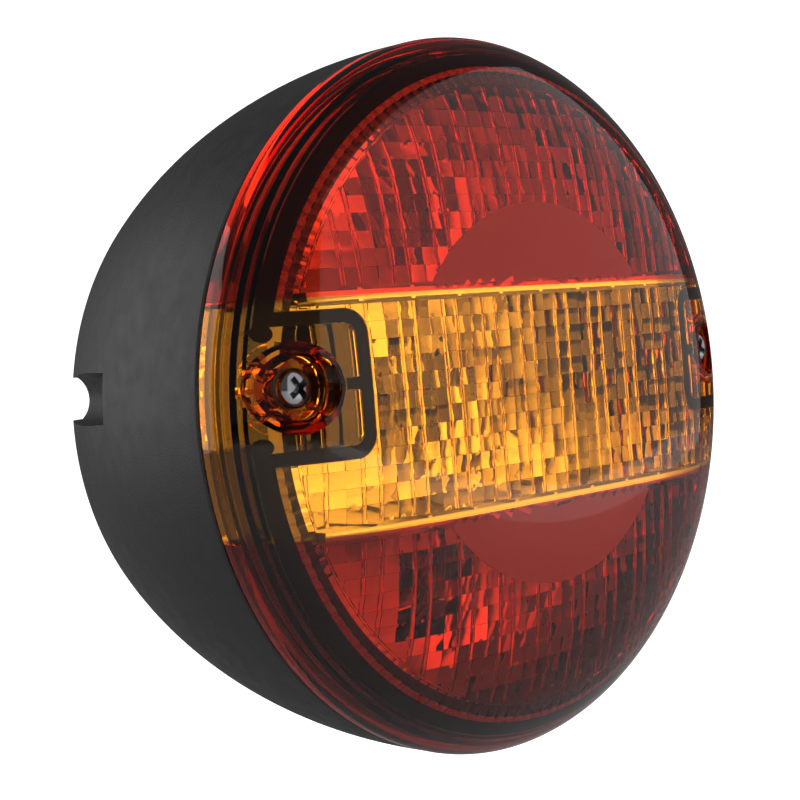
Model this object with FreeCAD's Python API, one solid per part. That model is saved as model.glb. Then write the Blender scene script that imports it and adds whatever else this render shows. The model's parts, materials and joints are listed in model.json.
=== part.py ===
"""Round three-colour trailer rear lamp, modelled piece by piece in millimetres.

The rear mounting face lies in the XZ plane at y = 0 and the lens looks along -Y, with +Z up.
Most shapes are turned about the lamp's own axis (the Y axis). A depth d is counted along +Y
from the seam between the lens and the housing, so d is negative in the lens and positive in
the housing, and place(d) gives the y coordinate of that depth.
"""
import FreeCAD
import Part
import math
import os

V = FreeCAD.Vector
AXIS_Y = V(0, 1, 0)
AXIS_Z = V(0, 0, 1)

# Driving dimensions of the whole lamp
HOUSING_DEPTH = 60.0          # seam to rear mounting face
LENS_RADIUS = 69.4
LENS_SKIRT = 2.4              # straight part of the lens side
LENS_RISE = 16.5              # dome height above the skirt
DOME_POWER = 4.67             # how flat the dome stays towards its edge
DOME_ROUND = 1.51             # how round its shoulder is
LENS_WALL = 2.2
HOUSING_WALL = 2.5
BOWL_MIDDLE_DEPTH = 30.0      # where the bowl's side is BOWL_MIDDLE_RADIUS
BOWL_MIDDLE_RADIUS = 66.7
BOWL_BACK_RADIUS = 55.9       # where the side's arc would meet the rear face
BOWL_EDGE = 7.0               # rounding of the rear edge
BOWL_EDGE_SHRINK = 0.8        # what the rounding loses for each millimetre of inset
SEAM_GAP = 0.5                # each side of the seam plane
BAND_HALF = 20.2              # half height of the amber band
SCREW_X = 57.0                # lens screws, each side of the centre
SCREW_Z = 5.25                # the screws, bolts and cable groove share this height

# Gasket, and the wall and ledge of the housing that carry it
GASKET_RADIUS = 63.0
GASKET_WIDTH = 2.4
GASKET_THICK = 2.2
GASKET_GAP = 0.05             # to the inside of the lens
GASKET_END_RADIUS = 1.5       # round ends of the ring, just inside each jog
GASKET_END_REACH = 2.2
JOG_INNER_X = 45.2
JOG_HALF = 11.6
JOG_CORNER = 3.2
JOG_STUB_HALF = 1.0           # short bar from the jog's inner leg to the lens well
STUB_GAP = 0.2
LEDGE_FRONT = 1.0
LEDGE_BACK = 3.5

# Lens wells and lens screws
WELL_RADIUS = 7.8
WELL_BORE = 5.4
WELL_BACK = -5.0
WELL_FLOOR = -8.8
WELL_HOLE = 2.4
SEAL_THICK = 0.8
SCREW_RADIUS = 2.0
SCREW_HEAD_RADIUS = 3.5
SCREW_HEAD_HEIGHT = 2.4
SCREW_END = 17.0
RUNNING_GAP = 0.05
POST_RADIUS = 4.5
POST_FRONT = -4.7
POST_BACK = 24.0
POST_CLEARANCE = 1.2          # between a screw post and the reflector

# Lamp chambers: name, height of the bulb axis, bulb glass radius, bulb glass length
CHAMBERS = (
    ("stop", 38.5, 12.5, 33.0),
    ("indicator", 0.0, 12.5, 33.0),
    ("tail", -38.5, 9.5, 20.0),
)
DIVIDER_THICK = 1.6
DIVIDER_BACK = 12.6
DIVIDER_REAR_HALF = 49.0
DIVIDER_FRONT_HALF = 53.5

# Reflector
PAN_FRONT = 3.8
PAN_FLOOR = 12.8
PAN_WALL = 1.5
PAN_FRONT_RADIUS = 58.5
PAN_FLOOR_RADIUS = 54.0
DISH_RADIUS = 18.0
DISH_DEPTH = 5.6
BULB_HOLE = 11.5
PAN_SCREW_X = 36.0
PAN_SCREW_Z = 28.0
PAN_POST_RADIUS = 3.5
SMALL_SCREW_RADIUS = 1.45
SMALL_SCREW_HEAD = 2.8
SMALL_SCREW_CROWN = 1.8
SMALL_SCREW_HOLE = 1.7        # through a screwed-down piece
SMALL_SCREW_BORE = 1.5        # in the post that it bites into

# Bulbs and bulb holders
CAP_RADIUS = 7.62
CAP_FRONT = 28.0
CAP_BACK = 46.2
CONTACT_PLANE = 47.0
PIN_DEPTH = 39.8
PIN_RADIUS = 1.0
PIN_REACH = 8.75
SHELL_BORE = 7.9
SHELL_OUTER = 8.5
SHELL_FRONT = 26.0
SHELL_BACK = 55.5
INSULATOR_THICK = 1.5
PLUNGER_RADIUS = 7.6
PLUNGER_THICK = 2.0
PUSH_TRAVEL = 2.5
TWIST_ANGLE = 30.0
SLOT_GAP = 0.15
SPRING_WIRE = 0.4
SPRING_RADIUS = 5.6
SPRING_HALF_TURNS = 6

# Carrier plate, strips and terminals
PLATE_FRONT = 30.0
PLATE_BACK = 32.5
PLATE_HALF_X = 14.0
PLATE_END = 10.0
STRIP_THICK = 0.8
STRIP_HALF = 2.0
BUSBAR_HALF = 11.0
SPACER_RADIUS = 4.0
BLOCK_LEFT = 34.0
BLOCK_RIGHT = 46.0
BLOCK_FRONT = 44.0
BLOCK_PITCH = 9.0
BLOCK_CENTRE_Z = 0.5

# Rear face: mounting bolts, cable groove and grommet
BOLT_X = 22.5
BOLT_RADIUS = 2.5
BOLT_NECK = 2.0               # plain part of the bolt, through the housing
BOLT_HOLE = 2.6
BOLT_OUT = 18.0
BOLT_HEAD_FLATS = 8.0
BOLT_HEAD_HEIGHT = 3.5
BOLT_SEAL_RADIUS = 6.0
BOLT_SEAL_THICK = 1.2
GROOVE_RADIUS = 5.0
GROOVE_FRONT_X = -65.5
GROOVE_FRONT = 33.5
GROOVE_LEAN = 4.2
GROOVE_END_X = -38.5
GROOVE_DEPTH = 7.0
GROMMET_X = -43.5
GROMMET_HOLE = 2.6
GROMMET_NECK = 4.0
GROMMET_FLANGE = 5.5
GROMMET_LIP = 1.5


def place(d):
    """y coordinate of a plane at depth d behind the seam."""
    return d - HOUSING_DEPTH


def turned(edges):
    """Solid turned about the Y axis from a closed profile in the XY plane."""
    face = Part.Face(Part.Wire(Part.__sortEdges__(edges)))
    return face.revolve(V(0, 0, 0), AXIS_Y, 360)


def line(a, b):
    return Part.LineSegment(a, b).toShape()


def outline(points):
    """Straight edges joining points in turn and closing on the first."""
    return [line(points[i], points[(i + 1) % len(points)]) for i in range(len(points))]


def rod(radius, front, back, x=0.0, z=0.0):
    """Cylinder along Y between two depths."""
    return Part.makeCylinder(radius, back - front, V(x, place(front), z), AXIS_Y)


def ring(outer, inner, front, back, x=0.0, z=0.0):
    return rod(outer, front, back, x, z).cut(rod(inner, front - 1, back + 1, x, z))


def block(x0, x1, d0, d1, z0, z1):
    """Box between two x values, two depths and two heights."""
    return Part.makeBox(x1 - x0, d1 - d0, z1 - z0, V(x0, place(d0), z0))


def joined(shapes):
    result = shapes[0]
    for shape in shapes[1:]:
        result = result.fuse(shape)
    return result.removeSplitter()


def without(shape, cutters):
    for cutter in cutters:
        shape = shape.cut(cutter)
    return shape


def dome_depth(r, inset=0.0):
    """Depth of the lens surface at radius r, or of the surface inset behind it."""
    radius = LENS_RADIUS - inset
    share = 1.0 - min(r / radius, 1.0) ** DOME_POWER
    return -(LENS_SKIRT + (LENS_RISE - inset) * share ** (1.0 / DOME_ROUND))


def dome(inset, back):
    """Solid inside the lens surface inset by a distance, back to a depth."""
    radius = LENS_RADIUS - inset
    steps = 14
    radii = [radius * math.sin(math.pi / 2 * i / steps) for i in range(steps + 1)]
    points = [V(r, place(dome_depth(r, inset)), 0) for r in radii]
    curve = Part.BSplineCurve()
    curve.interpolate(points)
    edges = [
        curve.toShape(),
        line(points[-1], V(radius, place(back), 0)),
        line(V(radius, place(back), 0), V(0, place(back), 0)),
        line(V(0, place(back), 0), points[0]),
    ]
    return turned(edges)


def bowl(inset):
    """Housing's outer form, inset by a wall, with a rounded rear edge."""
    edge_radius = BOWL_EDGE - BOWL_EDGE_SHRINK * inset
    front = V(LENS_RADIUS - inset, place(SEAM_GAP), 0)
    middle = V(BOWL_MIDDLE_RADIUS - inset, place(BOWL_MIDDLE_DEPTH), 0)
    rear = V(BOWL_BACK_RADIUS - inset, place(HOUSING_DEPTH - inset), 0)
    circle = Part.Arc(front, middle, rear).toShape().Curve
    centre = circle.Center
    inner_radius = circle.Radius - edge_radius
    edge_y = rear.y - edge_radius
    edge_x = centre.x + math.sqrt(inner_radius ** 2 - (edge_y - centre.y) ** 2)
    edge_centre = V(edge_x, edge_y, 0)
    outward = (edge_centre - centre).normalize()
    meet = edge_centre + outward * edge_radius
    flat = V(edge_x, rear.y, 0)
    half_way = (outward + AXIS_Y).normalize()
    chord_out = ((front + meet) * 0.5 - centre).normalize()
    side_middle = centre + chord_out * circle.Radius
    edges = [
        Part.Arc(front, side_middle, meet).toShape(),
        Part.Arc(meet, edge_centre + half_way * edge_radius, flat).toShape(),
        line(flat, V(0, rear.y, 0)),
        line(V(0, rear.y, 0), V(0, front.y, 0)),
        line(V(0, front.y, 0), front),
    ]
    return turned(edges)


def jog_region(grow, front, back, side):
    """Rounded block round one lens screw, out past the rim, grown by a distance."""
    height = 2 * (JOG_HALF + grow)
    inner = JOG_INNER_X - grow
    solid = Part.makeBox(LENS_RADIUS - inner, back - front, height,
                         V(inner, place(front), SCREW_Z - JOG_HALF - grow))
    corners = [e for e in solid.Edges
               if e.Length < back - front + 0.01 and abs(e.CenterOfMass.x - inner) < 0.01
               and abs(abs(e.CenterOfMass.z - SCREW_Z) - JOG_HALF - grow) < 0.01]
    solid = solid.makeFillet(JOG_CORNER + grow, corners)
    if side < 0:
        solid = solid.mirror(V(0, 0, 0), V(1, 0, 0))
    return solid


def gasket_path(front, back):
    """Lengths of the gasket's plan as walls: a ring with a jog inwards round each screw."""
    half = GASKET_WIDTH / 2
    inside = rod(GASKET_RADIUS - half, front, back)
    outside = rod(GASKET_RADIUS + half, front, back)
    ring_wall = outside.cut(inside)
    jogs = []
    for side in (-1, 1):
        ring_wall = ring_wall.cut(jog_region(-half, front, back, side))
        wall = jog_region(half, front, back, side).cut(jog_region(-half, front, back, side))
        jogs.append(wall.common(outside))
        stub_end = SCREW_X - WELL_RADIUS - STUB_GAP
        stub = sorted((side * JOG_INNER_X, side * stub_end))
        jogs.append(block(*stub, front, back, SCREW_Z - JOG_STUB_HALF, SCREW_Z + JOG_STUB_HALF))
        for lift in (-1, 1):
            z = SCREW_Z + lift * (JOG_HALF - GASKET_END_REACH)
            x = side * math.sqrt(GASKET_RADIUS ** 2 - z ** 2)
            jogs.append(rod(GASKET_END_RADIUS, front, back, x, z))
    return [ring_wall] + jogs


def gasket_wall():
    """The housing's wall under the gasket, which follows the inside of the lens."""
    limit = dome(LENS_WALL + GASKET_THICK, LEDGE_BACK + 1)
    return joined([wall.common(limit) for wall in gasket_path(dome_depth(0.0), LEDGE_BACK)])


def make_housing():
    """Bowl with its gasket ledge, screw pockets, posts and cable groove."""
    back = HOUSING_DEPTH - HOUSING_WALL
    half = GASKET_WIDTH / 2
    within = bowl(HOUSING_WALL / 2)
    hollow = rod(LENS_RADIUS - 1.0, LEDGE_FRONT, LEDGE_BACK)
    shell = bowl(0).cut(bowl(HOUSING_WALL))
    ledge = hollow.cut(rod(GASKET_RADIUS - half, LEDGE_FRONT, LEDGE_BACK))
    groove_lining = groove_solid(HOUSING_WALL).common(within)
    parts = [shell, groove_lining, ledge, gasket_wall()]
    pan_back = PAN_FLOOR + PAN_WALL
    for side in (-1, 1):
        plate = jog_region(half, LEDGE_FRONT, LEDGE_BACK, side)
        parts.append(plate.common(hollow))
        parts.append(rod(POST_RADIUS, POST_FRONT, POST_BACK, side * SCREW_X, SCREW_Z))
        web = block(SCREW_X, LENS_RADIUS, LEDGE_BACK, POST_BACK, SCREW_Z - 1, SCREW_Z + 1)
        web = web.common(within)
        parts.append(web if side > 0 else web.mirror(V(0, 0, 0), V(1, 0, 0)))
        for z in (-PAN_SCREW_Z, PAN_SCREW_Z):
            parts.append(rod(PAN_POST_RADIUS, pan_back, back + 0.5, side * PAN_SCREW_X, z))
    for z in spacer_heights():
        parts.append(rod(SPACER_RADIUS, PLATE_BACK, back + 0.5, 0, z))
    body = joined(parts)
    cutters = [groove_solid(0.0)]
    for side in (-1, 1):
        cutters.append(rod(SCREW_RADIUS + RUNNING_GAP, POST_FRONT - 1, SCREW_END + 2,
                           side * SCREW_X, SCREW_Z))
        cutters.append(rod(BOLT_HOLE, back - 1, HOUSING_DEPTH + 1, side * BOLT_X, SCREW_Z))
        for z in (-PAN_SCREW_Z, PAN_SCREW_Z):
            cutters.append(rod(SMALL_SCREW_BORE, PAN_FLOOR, PAN_FLOOR + 12, side * PAN_SCREW_X, z))
    for z in spacer_heights():
        cutters.append(rod(SMALL_SCREW_BORE, PLATE_BACK - 1, PLATE_BACK + 10, 0, z))
    groove_floor = HOUSING_DEPTH - GROOVE_DEPTH
    cutters.append(rod(GROMMET_NECK, groove_floor - 5, groove_floor + 1, GROMMET_X, SCREW_Z))
    return without(body, cutters)


def groove_solid(grow):
    """Cable groove in the rear face and its scallop up the side, grown by a wall."""
    lean = V(GROOVE_LEAN, HOUSING_DEPTH - GROOVE_FRONT, 0)
    start = V(GROOVE_FRONT_X, place(GROOVE_FRONT - 10), SCREW_Z)
    scallop = Part.makeCylinder(GROOVE_RADIUS + grow, 60, start, lean)
    depth_cut = block(-80, -30, GROOVE_FRONT - grow, HOUSING_DEPTH + 5, -20, 30)
    scallop = scallop.common(depth_cut)
    half = GROOVE_RADIUS - 0.8 + grow
    floor = HOUSING_DEPTH - GROOVE_DEPTH - grow
    channel = block(GROOVE_FRONT_X, GROOVE_END_X + grow, floor, HOUSING_DEPTH + 5,
                    SCREW_Z - half, SCREW_Z + half)
    return joined([scallop, channel])


def spacer_heights():
    """Heights of the two spacers, midway between neighbouring bulb holders."""
    heights = [chamber[1] for chamber in CHAMBERS]
    return [(heights[i] + heights[i + 1]) / 2 for i in range(len(heights) - 1)]


def make_gasket():
    """Rubber band between the housing's wall and the inside of the lens."""
    band = dome(LENS_WALL + GASKET_GAP, 0.0).cut(dome(LENS_WALL + GASKET_THICK, 1.0))
    return joined([wall.common(band) for wall in gasket_path(dome_depth(0.0), -LENS_SKIRT)])


def lens_whole():
    """The lens in one piece, before it is parted into its three colours."""
    inside = dome(LENS_WALL, SEAM_GAP)
    shell = dome(0.0, -SEAM_GAP).cut(inside)
    parts = [shell]
    for side in (-1, 1):
        well = rod(WELL_RADIUS, dome_depth(0.0), WELL_BACK, side * SCREW_X, SCREW_Z)
        parts.append(well.common(dome(0.5, 0.0)))
    whole = joined(parts)
    cutters = []
    for side in (-1, 1):
        x = side * SCREW_X
        cutters.append(rod(WELL_BORE, dome_depth(0.0) - 1, WELL_FLOOR, x, SCREW_Z))
        cutters.append(rod(WELL_HOLE, WELL_FLOOR - 1, WELL_BACK + 1, x, SCREW_Z))
    return without(whole, cutters)


def lens_segments():
    """The upper red, amber and lower red segments, each cut from the whole lens."""
    whole = lens_whole()
    reach = LENS_RADIUS + 5
    bands = {
        "lens_red_upper": (BAND_HALF, reach),
        "lens_amber_band": (-BAND_HALF, BAND_HALF),
        "lens_red_lower": (-reach, -BAND_HALF),
    }
    front = dome_depth(0.0) - 5
    return {name: whole.common(block(-reach, reach, front, 5, low, high))
            for name, (low, high) in bands.items()}


def cross_recess(x, z, head_top, depth):
    """Cross-shaped driver recess cut in a screw head."""
    arm = 1.9
    half = 0.45
    deep = head_top + depth
    return joined([
        block(x - arm, x + arm, head_top - 1, deep, z - half, z + half),
        block(x - half, x + half, head_top - 1, deep, z - arm, z + arm),
    ])


def make_lens_screw(x):
    under = WELL_FLOOR - SEAL_THICK
    top = under - SCREW_HEAD_HEIGHT
    head = rod(SCREW_HEAD_RADIUS, top, under, x, SCREW_Z)
    crown = [e for e in head.Edges if e.CenterOfMass.y < place(top) + 0.01]
    head = head.makeFillet(1.1, crown)
    shank = rod(SCREW_RADIUS, under, SCREW_END, x, SCREW_Z)
    tip = [e for e in shank.Edges if e.CenterOfMass.y > place(SCREW_END) - 0.01]
    shank = shank.makeChamfer(0.8, tip)
    return joined([head, shank]).cut(cross_recess(x, SCREW_Z, top, 1.6))


def make_screw_seal(x):
    return ring(SCREW_HEAD_RADIUS + 0.8, SCREW_RADIUS + RUNNING_GAP,
                WELL_FLOOR - SEAL_THICK, WELL_FLOOR, x, SCREW_Z)


def dish_profile(offset, front):
    """Profile edges of one round dish, offset rearwards, open at the front."""
    rim = V(DISH_RADIUS, place(PAN_FLOOR + offset), 0)
    quarter = DISH_RADIUS * 0.6
    middle = V(quarter, place(PAN_FLOOR + offset + DISH_DEPTH * 0.72), 0)
    vertex = V(0, place(PAN_FLOOR + offset + DISH_DEPTH), 0)
    return [
        Part.Arc(rim, middle, vertex).toShape(),
        line(vertex, V(0, place(front), 0)),
        line(V(0, place(front), 0), V(DISH_RADIUS, place(front), 0)),
        line(V(DISH_RADIUS, place(front), 0), rim),
    ]


def pan_profile(inset, front):
    """Profile of the reflector pan's inside, or of its outside at a negative inset."""
    grow = -inset
    return outline([
        V(0, place(front), 0),
        V(PAN_FRONT_RADIUS + grow, place(front), 0),
        V(PAN_FRONT_RADIUS + grow, place(PAN_FRONT), 0),
        V(PAN_FLOOR_RADIUS + grow, place(PAN_FLOOR + grow), 0),
        V(0, place(PAN_FLOOR + grow), 0),
    ])


def make_reflector():
    pan = turned(pan_profile(-PAN_WALL, PAN_FRONT - 0.1))
    solids = [pan]
    cutters = [turned(pan_profile(0, PAN_FRONT - 2))]
    for _, z, _, _ in CHAMBERS:
        up = V(0, 0, z)
        solids.append(turned(dish_profile(PAN_WALL, PAN_FLOOR)).translate(up))
        cutters.append(turned(dish_profile(0, PAN_FLOOR - 1)).translate(up))
        cutters.append(rod(BULB_HOLE, PAN_FLOOR - 1, PAN_FLOOR + 12, 0, z))
    for side in (-1, 1):
        clear = POST_RADIUS + POST_CLEARANCE
        cutters.append(rod(clear, 0, 30, side * SCREW_X, SCREW_Z))
        slot = block(SCREW_X - clear, LENS_RADIUS, 0, 30, SCREW_Z - clear, SCREW_Z + clear)
        cutters.append(slot if side > 0 else slot.mirror(V(0, 0, 0), V(1, 0, 0)))
        for z in (-PAN_SCREW_Z, PAN_SCREW_Z):
            cutters.append(rod(SMALL_SCREW_HOLE, 0, 30, side * PAN_SCREW_X, z))
    return without(joined(solids), cutters)


def small_screw(x, z, seat, length):
    """Self-tapping screw whose head sits on a face at depth seat."""
    top = seat - SMALL_SCREW_CROWN
    head = rod(SMALL_SCREW_HEAD, top, seat, x, z)
    crown = [e for e in head.Edges if e.CenterOfMass.y < place(top) + 0.01]
    head = head.makeFillet(SMALL_SCREW_CROWN / 2, crown)
    shank = rod(SMALL_SCREW_RADIUS, seat, seat + length, x, z)
    return joined([head, shank]).cut(cross_recess(x, z, top, 1.2))


def make_reflector_screws():
    places = [(x, z) for x in (-PAN_SCREW_X, PAN_SCREW_X) for z in (-PAN_SCREW_Z, PAN_SCREW_Z)]
    return Part.makeCompound([small_screw(x, z, PAN_FLOOR, 10) for x, z in places])


def make_divider(z):
    """Light wall between two chambers, from the reflector floor to just behind the lens."""
    low = z - DIVIDER_THICK / 2
    back = place(DIVIDER_BACK)
    shoulder = place(PAN_FRONT - 0.5)
    front = place(dome_depth(0.0))
    points = [
        V(-DIVIDER_REAR_HALF, back, low),
        V(DIVIDER_REAR_HALF, back, low),
        V(DIVIDER_FRONT_HALF, shoulder, low),
        V(DIVIDER_FRONT_HALF, front, low),
        V(-DIVIDER_FRONT_HALF, front, low),
        V(-DIVIDER_FRONT_HALF, shoulder, low),
    ]
    wall = Part.Face(Part.Wire(outline(points))).extrude(V(0, 0, DIVIDER_THICK))
    return wall.common(dome(LENS_WALL + 0.5, PAN_FLOOR))


def make_holder_plate():
    top = CHAMBERS[0][1] + PLATE_END
    plate = block(-PLATE_HALF_X, PLATE_HALF_X, PLATE_FRONT, PLATE_BACK, -top, top)
    corners = [e for e in plate.Edges if e.Length < PLATE_BACK - PLATE_FRONT + 0.01]
    plate = plate.makeFillet(6.0, corners)
    holes = [rod(SHELL_OUTER, PLATE_FRONT - 1, PLATE_BACK + 1, 0, c[1]) for c in CHAMBERS]
    holes += [rod(SMALL_SCREW_HOLE, PLATE_FRONT - 1, PLATE_BACK + 1, 0, z)
              for z in spacer_heights()]
    return without(plate, holes)


def make_carrier_screws():
    seat = PLATE_FRONT - STRIP_THICK
    return Part.makeCompound([small_screw(0, z, seat, 11) for z in spacer_heights()])


def make_earth_busbar():
    """Brass strip round the three holder shells, with a strap back to the terminal block."""
    top = CHAMBERS[0][1] + PLATE_END - 1
    front = PLATE_FRONT - STRIP_THICK
    z = way_height(1)
    corner = BLOCK_LEFT - 4
    strap_back = BLOCK_FRONT + 6
    bar = joined([
        block(-BUSBAR_HALF, BUSBAR_HALF, front, PLATE_FRONT, -top, top),
        block(0, corner, front, PLATE_FRONT, z - STRIP_HALF, z + STRIP_HALF),
        block(corner - STRIP_THICK, corner, front, strap_back, z - STRIP_HALF, z + STRIP_HALF),
        block(corner - STRIP_THICK, BLOCK_LEFT, strap_back - STRIP_THICK, strap_back,
              z - STRIP_HALF, z + STRIP_HALF),
    ])
    holes = [rod(SHELL_OUTER, front - 1, PLATE_FRONT + 1, 0, c[1]) for c in CHAMBERS]
    holes += [rod(SMALL_SCREW_HOLE, front - 1, PLATE_FRONT + 1, 0, h)
              for h in spacer_heights()]
    return without(bar, holes)


def way_height(index):
    """Height of one way of the terminal block, counted down from the top way."""
    return BLOCK_CENTRE_Z + BLOCK_PITCH * (1.5 - index)


def make_feed_strip(z, way):
    """Brass strip from a holder's rear contact to its way of the terminal block."""
    front = SHELL_BACK + 0.1
    back = front + STRIP_THICK
    target = way_height(way)
    riser = 14.0
    low = min(z, target) - STRIP_HALF
    high = max(z, target) + STRIP_HALF
    return joined([
        rod(5.0, front, back, 0, z),
        block(0, riser + STRIP_HALF, front, back, z - STRIP_HALF, z + STRIP_HALF),
        block(riser - STRIP_HALF, riser + STRIP_HALF, front, back, low, high),
        block(riser, BLOCK_LEFT, front, back, target - STRIP_HALF, target + STRIP_HALF),
    ])


def make_terminal_block():
    half = 2 * BLOCK_PITCH + 0.5
    body = block(BLOCK_LEFT, BLOCK_RIGHT, BLOCK_FRONT, HOUSING_DEPTH - HOUSING_WALL,
                 BLOCK_CENTRE_Z - half, BLOCK_CENTRE_Z + half)
    body = body.common(bowl(HOUSING_WALL + 0.3).translate(V(0, 0.3, 0)))
    middle = (BLOCK_LEFT + BLOCK_RIGHT) / 2
    cutters = []
    for way in range(4):
        z = way_height(way)
        cutters.append(rod(2.3, BLOCK_FRONT - 1, BLOCK_FRONT + 5, middle, z))
        entry = Part.makeCylinder(1.8, 5, V(BLOCK_RIGHT - 4, place(BLOCK_FRONT + 3), z), V(1, 0, 0))
        cutters.append(entry)
    return without(body, cutters)


def make_terminal_screws():
    middle = (BLOCK_LEFT + BLOCK_RIGHT) / 2
    screws = []
    for way in range(4):
        z = way_height(way)
        pin = rod(2.2, BLOCK_FRONT - 1.5, BLOCK_FRONT + 1.0, middle, z)
        slot = block(middle - 3, middle + 3, BLOCK_FRONT - 2, BLOCK_FRONT - 0.7, z - 0.4, z + 0.4)
        screws.append(pin.cut(slot))
    return Part.makeCompound(screws)


def make_holder_shell(z):
    """Bulb holder tube with a flared mouth and two bayonet slots."""
    tube = ring(SHELL_OUTER, SHELL_BORE, SHELL_FRONT, SHELL_BACK, 0, z)
    lip = ring(SHELL_OUTER + 0.7, SHELL_BORE, SHELL_FRONT, SHELL_FRONT + 0.8, 0, z)
    tube = joined([tube, lip])
    return without(tube, bayonet_slots(z))


def bayonet_slots(z):
    """Cutters for the two slots: the way in from the mouth, and the window for turn and push."""
    clear = PIN_RADIUS + SLOT_GAP
    reach = SHELL_OUTER + 3
    window_front = PIN_DEPTH - clear
    window_back = PIN_DEPTH + PUSH_TRAVEL + clear
    widen = math.degrees(math.asin(clear / SHELL_BORE))
    sweep = TWIST_ANGLE + 2 * widen
    cutters = []
    for start in (0.0, 180.0):
        window = Part.makeCylinder(reach, window_back - window_front, V(0, 0, 0), AXIS_Z, sweep)
        window.rotate(V(0, 0, 0), AXIS_Z, start - widen)
        window.rotate(V(0, 0, 0), V(1, 0, 0), 90)
        window.translate(V(0, place(window_back), z))
        way_in = Part.makeBox(reach, window_back - SHELL_FRONT + 1, 2 * clear,
                              V(0, place(SHELL_FRONT - 1), -clear))
        way_in.rotate(V(0, 0, 0), V(0, -1, 0), start + TWIST_ANGLE)
        way_in.translate(V(0, 0, z))
        cutters += [window, way_in]
    return cutters


def make_holder_insulator(z):
    return ring(SHELL_BORE, 1.6, SHELL_BACK - INSULATOR_THICK, SHELL_BACK, 0, z)


def make_plunger(z):
    """Insulating disc that the bulb presses back, with a collar round its contact."""
    disc = rod(PLUNGER_RADIUS, CONTACT_PLANE, CONTACT_PLANE + PLUNGER_THICK, 0, z)
    collar = rod(3.2, CONTACT_PLANE + PLUNGER_THICK, CONTACT_PLANE + PLUNGER_THICK + 1.0, 0, z)
    return joined([disc, collar]).cut(rod(1.6, CONTACT_PLANE - 1, CONTACT_PLANE + 5, 0, z))


def make_plunger_contact(z):
    return rod(1.6, CONTACT_PLANE, CONTACT_PLANE + PLUNGER_THICK + 1.4, 0, z)


def make_plunger_spring(z):
    """Open coil between the plunger and the rear insulator, made of tilted half rings."""
    start = CONTACT_PLANE + PLUNGER_THICK + SPRING_WIRE + 0.1
    end = SHELL_BACK - INSULATOR_THICK - SPRING_WIRE - 0.1
    advance = (end - start) / SPRING_HALF_TURNS
    halves = []
    for i in range(SPRING_HALF_TURNS):
        x = SPRING_RADIUS if i % 2 == 0 else -SPRING_RADIUS
        here = V(x, place(start + advance * i), z)
        there = V(-x, here.y + advance, z)
        chord = there - here
        normal = chord.cross(AXIS_Z) if chord.x < 0 else AXIS_Z.cross(chord)
        section = Part.Face(Part.Wire(Part.makeCircle(SPRING_WIRE, here, AXIS_Z)))
        halves.append(section.revolve((here + there) * 0.5, normal, 180))
    return joined(halves)


def make_bulb_cap(z):
    """Metal cap with its end contact and two bayonet pins."""
    cap = rod(CAP_RADIUS, CAP_FRONT, CAP_BACK, 0, z)
    ends = [e for e in cap.Edges if e.CenterOfMass.y > place(CAP_BACK) - 0.01]
    cap = cap.makeFillet(0.8, ends)
    nub = rod(2.0, CAP_BACK - 0.5, CONTACT_PLANE, 0, z)
    pins = Part.makeCylinder(PIN_RADIUS, 2 * PIN_REACH, V(-PIN_REACH, place(PIN_DEPTH), z),
                             V(1, 0, 0))
    bore = rod(CAP_RADIUS - 0.8, CAP_FRONT - 1, CAP_FRONT + 3, 0, z)
    return joined([cap, nub, pins]).cut(bore)


def glass_profile(radius, length, wall):
    """Outline of a bulb's glass, or of the space inside it at a wall thickness."""
    neck = CAP_RADIUS - 0.82 - wall
    round_radius = radius - wall
    tip = CAP_FRONT - length + wall
    centre = CAP_FRONT - length + radius
    foot = CAP_FRONT + 2.8 - wall
    side = math.sqrt(round_radius ** 2 - (round_radius * 0.7) ** 2)
    join_depth = centre + round_radius * 0.7
    return [
        Part.Arc(V(0, place(tip), 0), V(round_radius, place(centre), 0),
                 V(side, place(join_depth), 0)).toShape(),
        line(V(side, place(join_depth), 0), V(neck, place(CAP_FRONT - 2), 0)),
        line(V(neck, place(CAP_FRONT - 2), 0), V(neck, place(foot), 0)),
        line(V(neck, place(foot), 0), V(0, place(foot), 0)),
        line(V(0, place(foot), 0), V(0, place(tip), 0)),
    ]


def make_bulb_glass(z, radius, length):
    outer = turned(glass_profile(radius, length, 0.0))
    inner = turned(glass_profile(radius, length, 0.8))
    return outer.cut(inner).translate(V(0, 0, z))


def make_bulb_filament(z, radius, length):
    """Glass stem, two support wires and the coil between them."""
    coil_depth = CAP_FRONT - length + radius + 1.0
    span = 3.0
    foot = CAP_FRONT + 1.5
    stem = rod(2.6, CAP_FRONT - 5.0, foot, 0, z)
    wires = [rod(0.35, coil_depth, CAP_FRONT - 4.5, x, z) for x in (-span + 1, span - 1)]
    coil = Part.makeCylinder(0.7, 2 * span, V(-span, place(coil_depth), z), V(1, 0, 0))
    return joined([stem, coil] + wires)


def hexagon(flats, front, back, x, z):
    """Hexagonal prism along Y with a given distance across its flats."""
    radius = flats / math.sqrt(3)
    corners = [V(x + radius * math.cos(math.radians(60 * i)), place(front),
                 z + radius * math.sin(math.radians(60 * i))) for i in range(6)]
    return Part.Face(Part.Wire(outline(corners))).extrude(V(0, back - front, 0))


def make_mounting_bolts():
    seat = HOUSING_DEPTH - HOUSING_WALL - BOLT_SEAL_THICK
    bolts = []
    for x in (-BOLT_X, BOLT_X):
        head = hexagon(BOLT_HEAD_FLATS, seat - BOLT_HEAD_HEIGHT, seat, x, SCREW_Z)
        neck = rod(BOLT_NECK, seat - 0.5, HOUSING_DEPTH + 0.2, x, SCREW_Z)
        stud = rod(BOLT_RADIUS, HOUSING_DEPTH + 0.2, HOUSING_DEPTH + BOLT_OUT, x, SCREW_Z)
        bolts.append(joined([head, neck, stud]))
    return Part.makeCompound(bolts)


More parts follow.
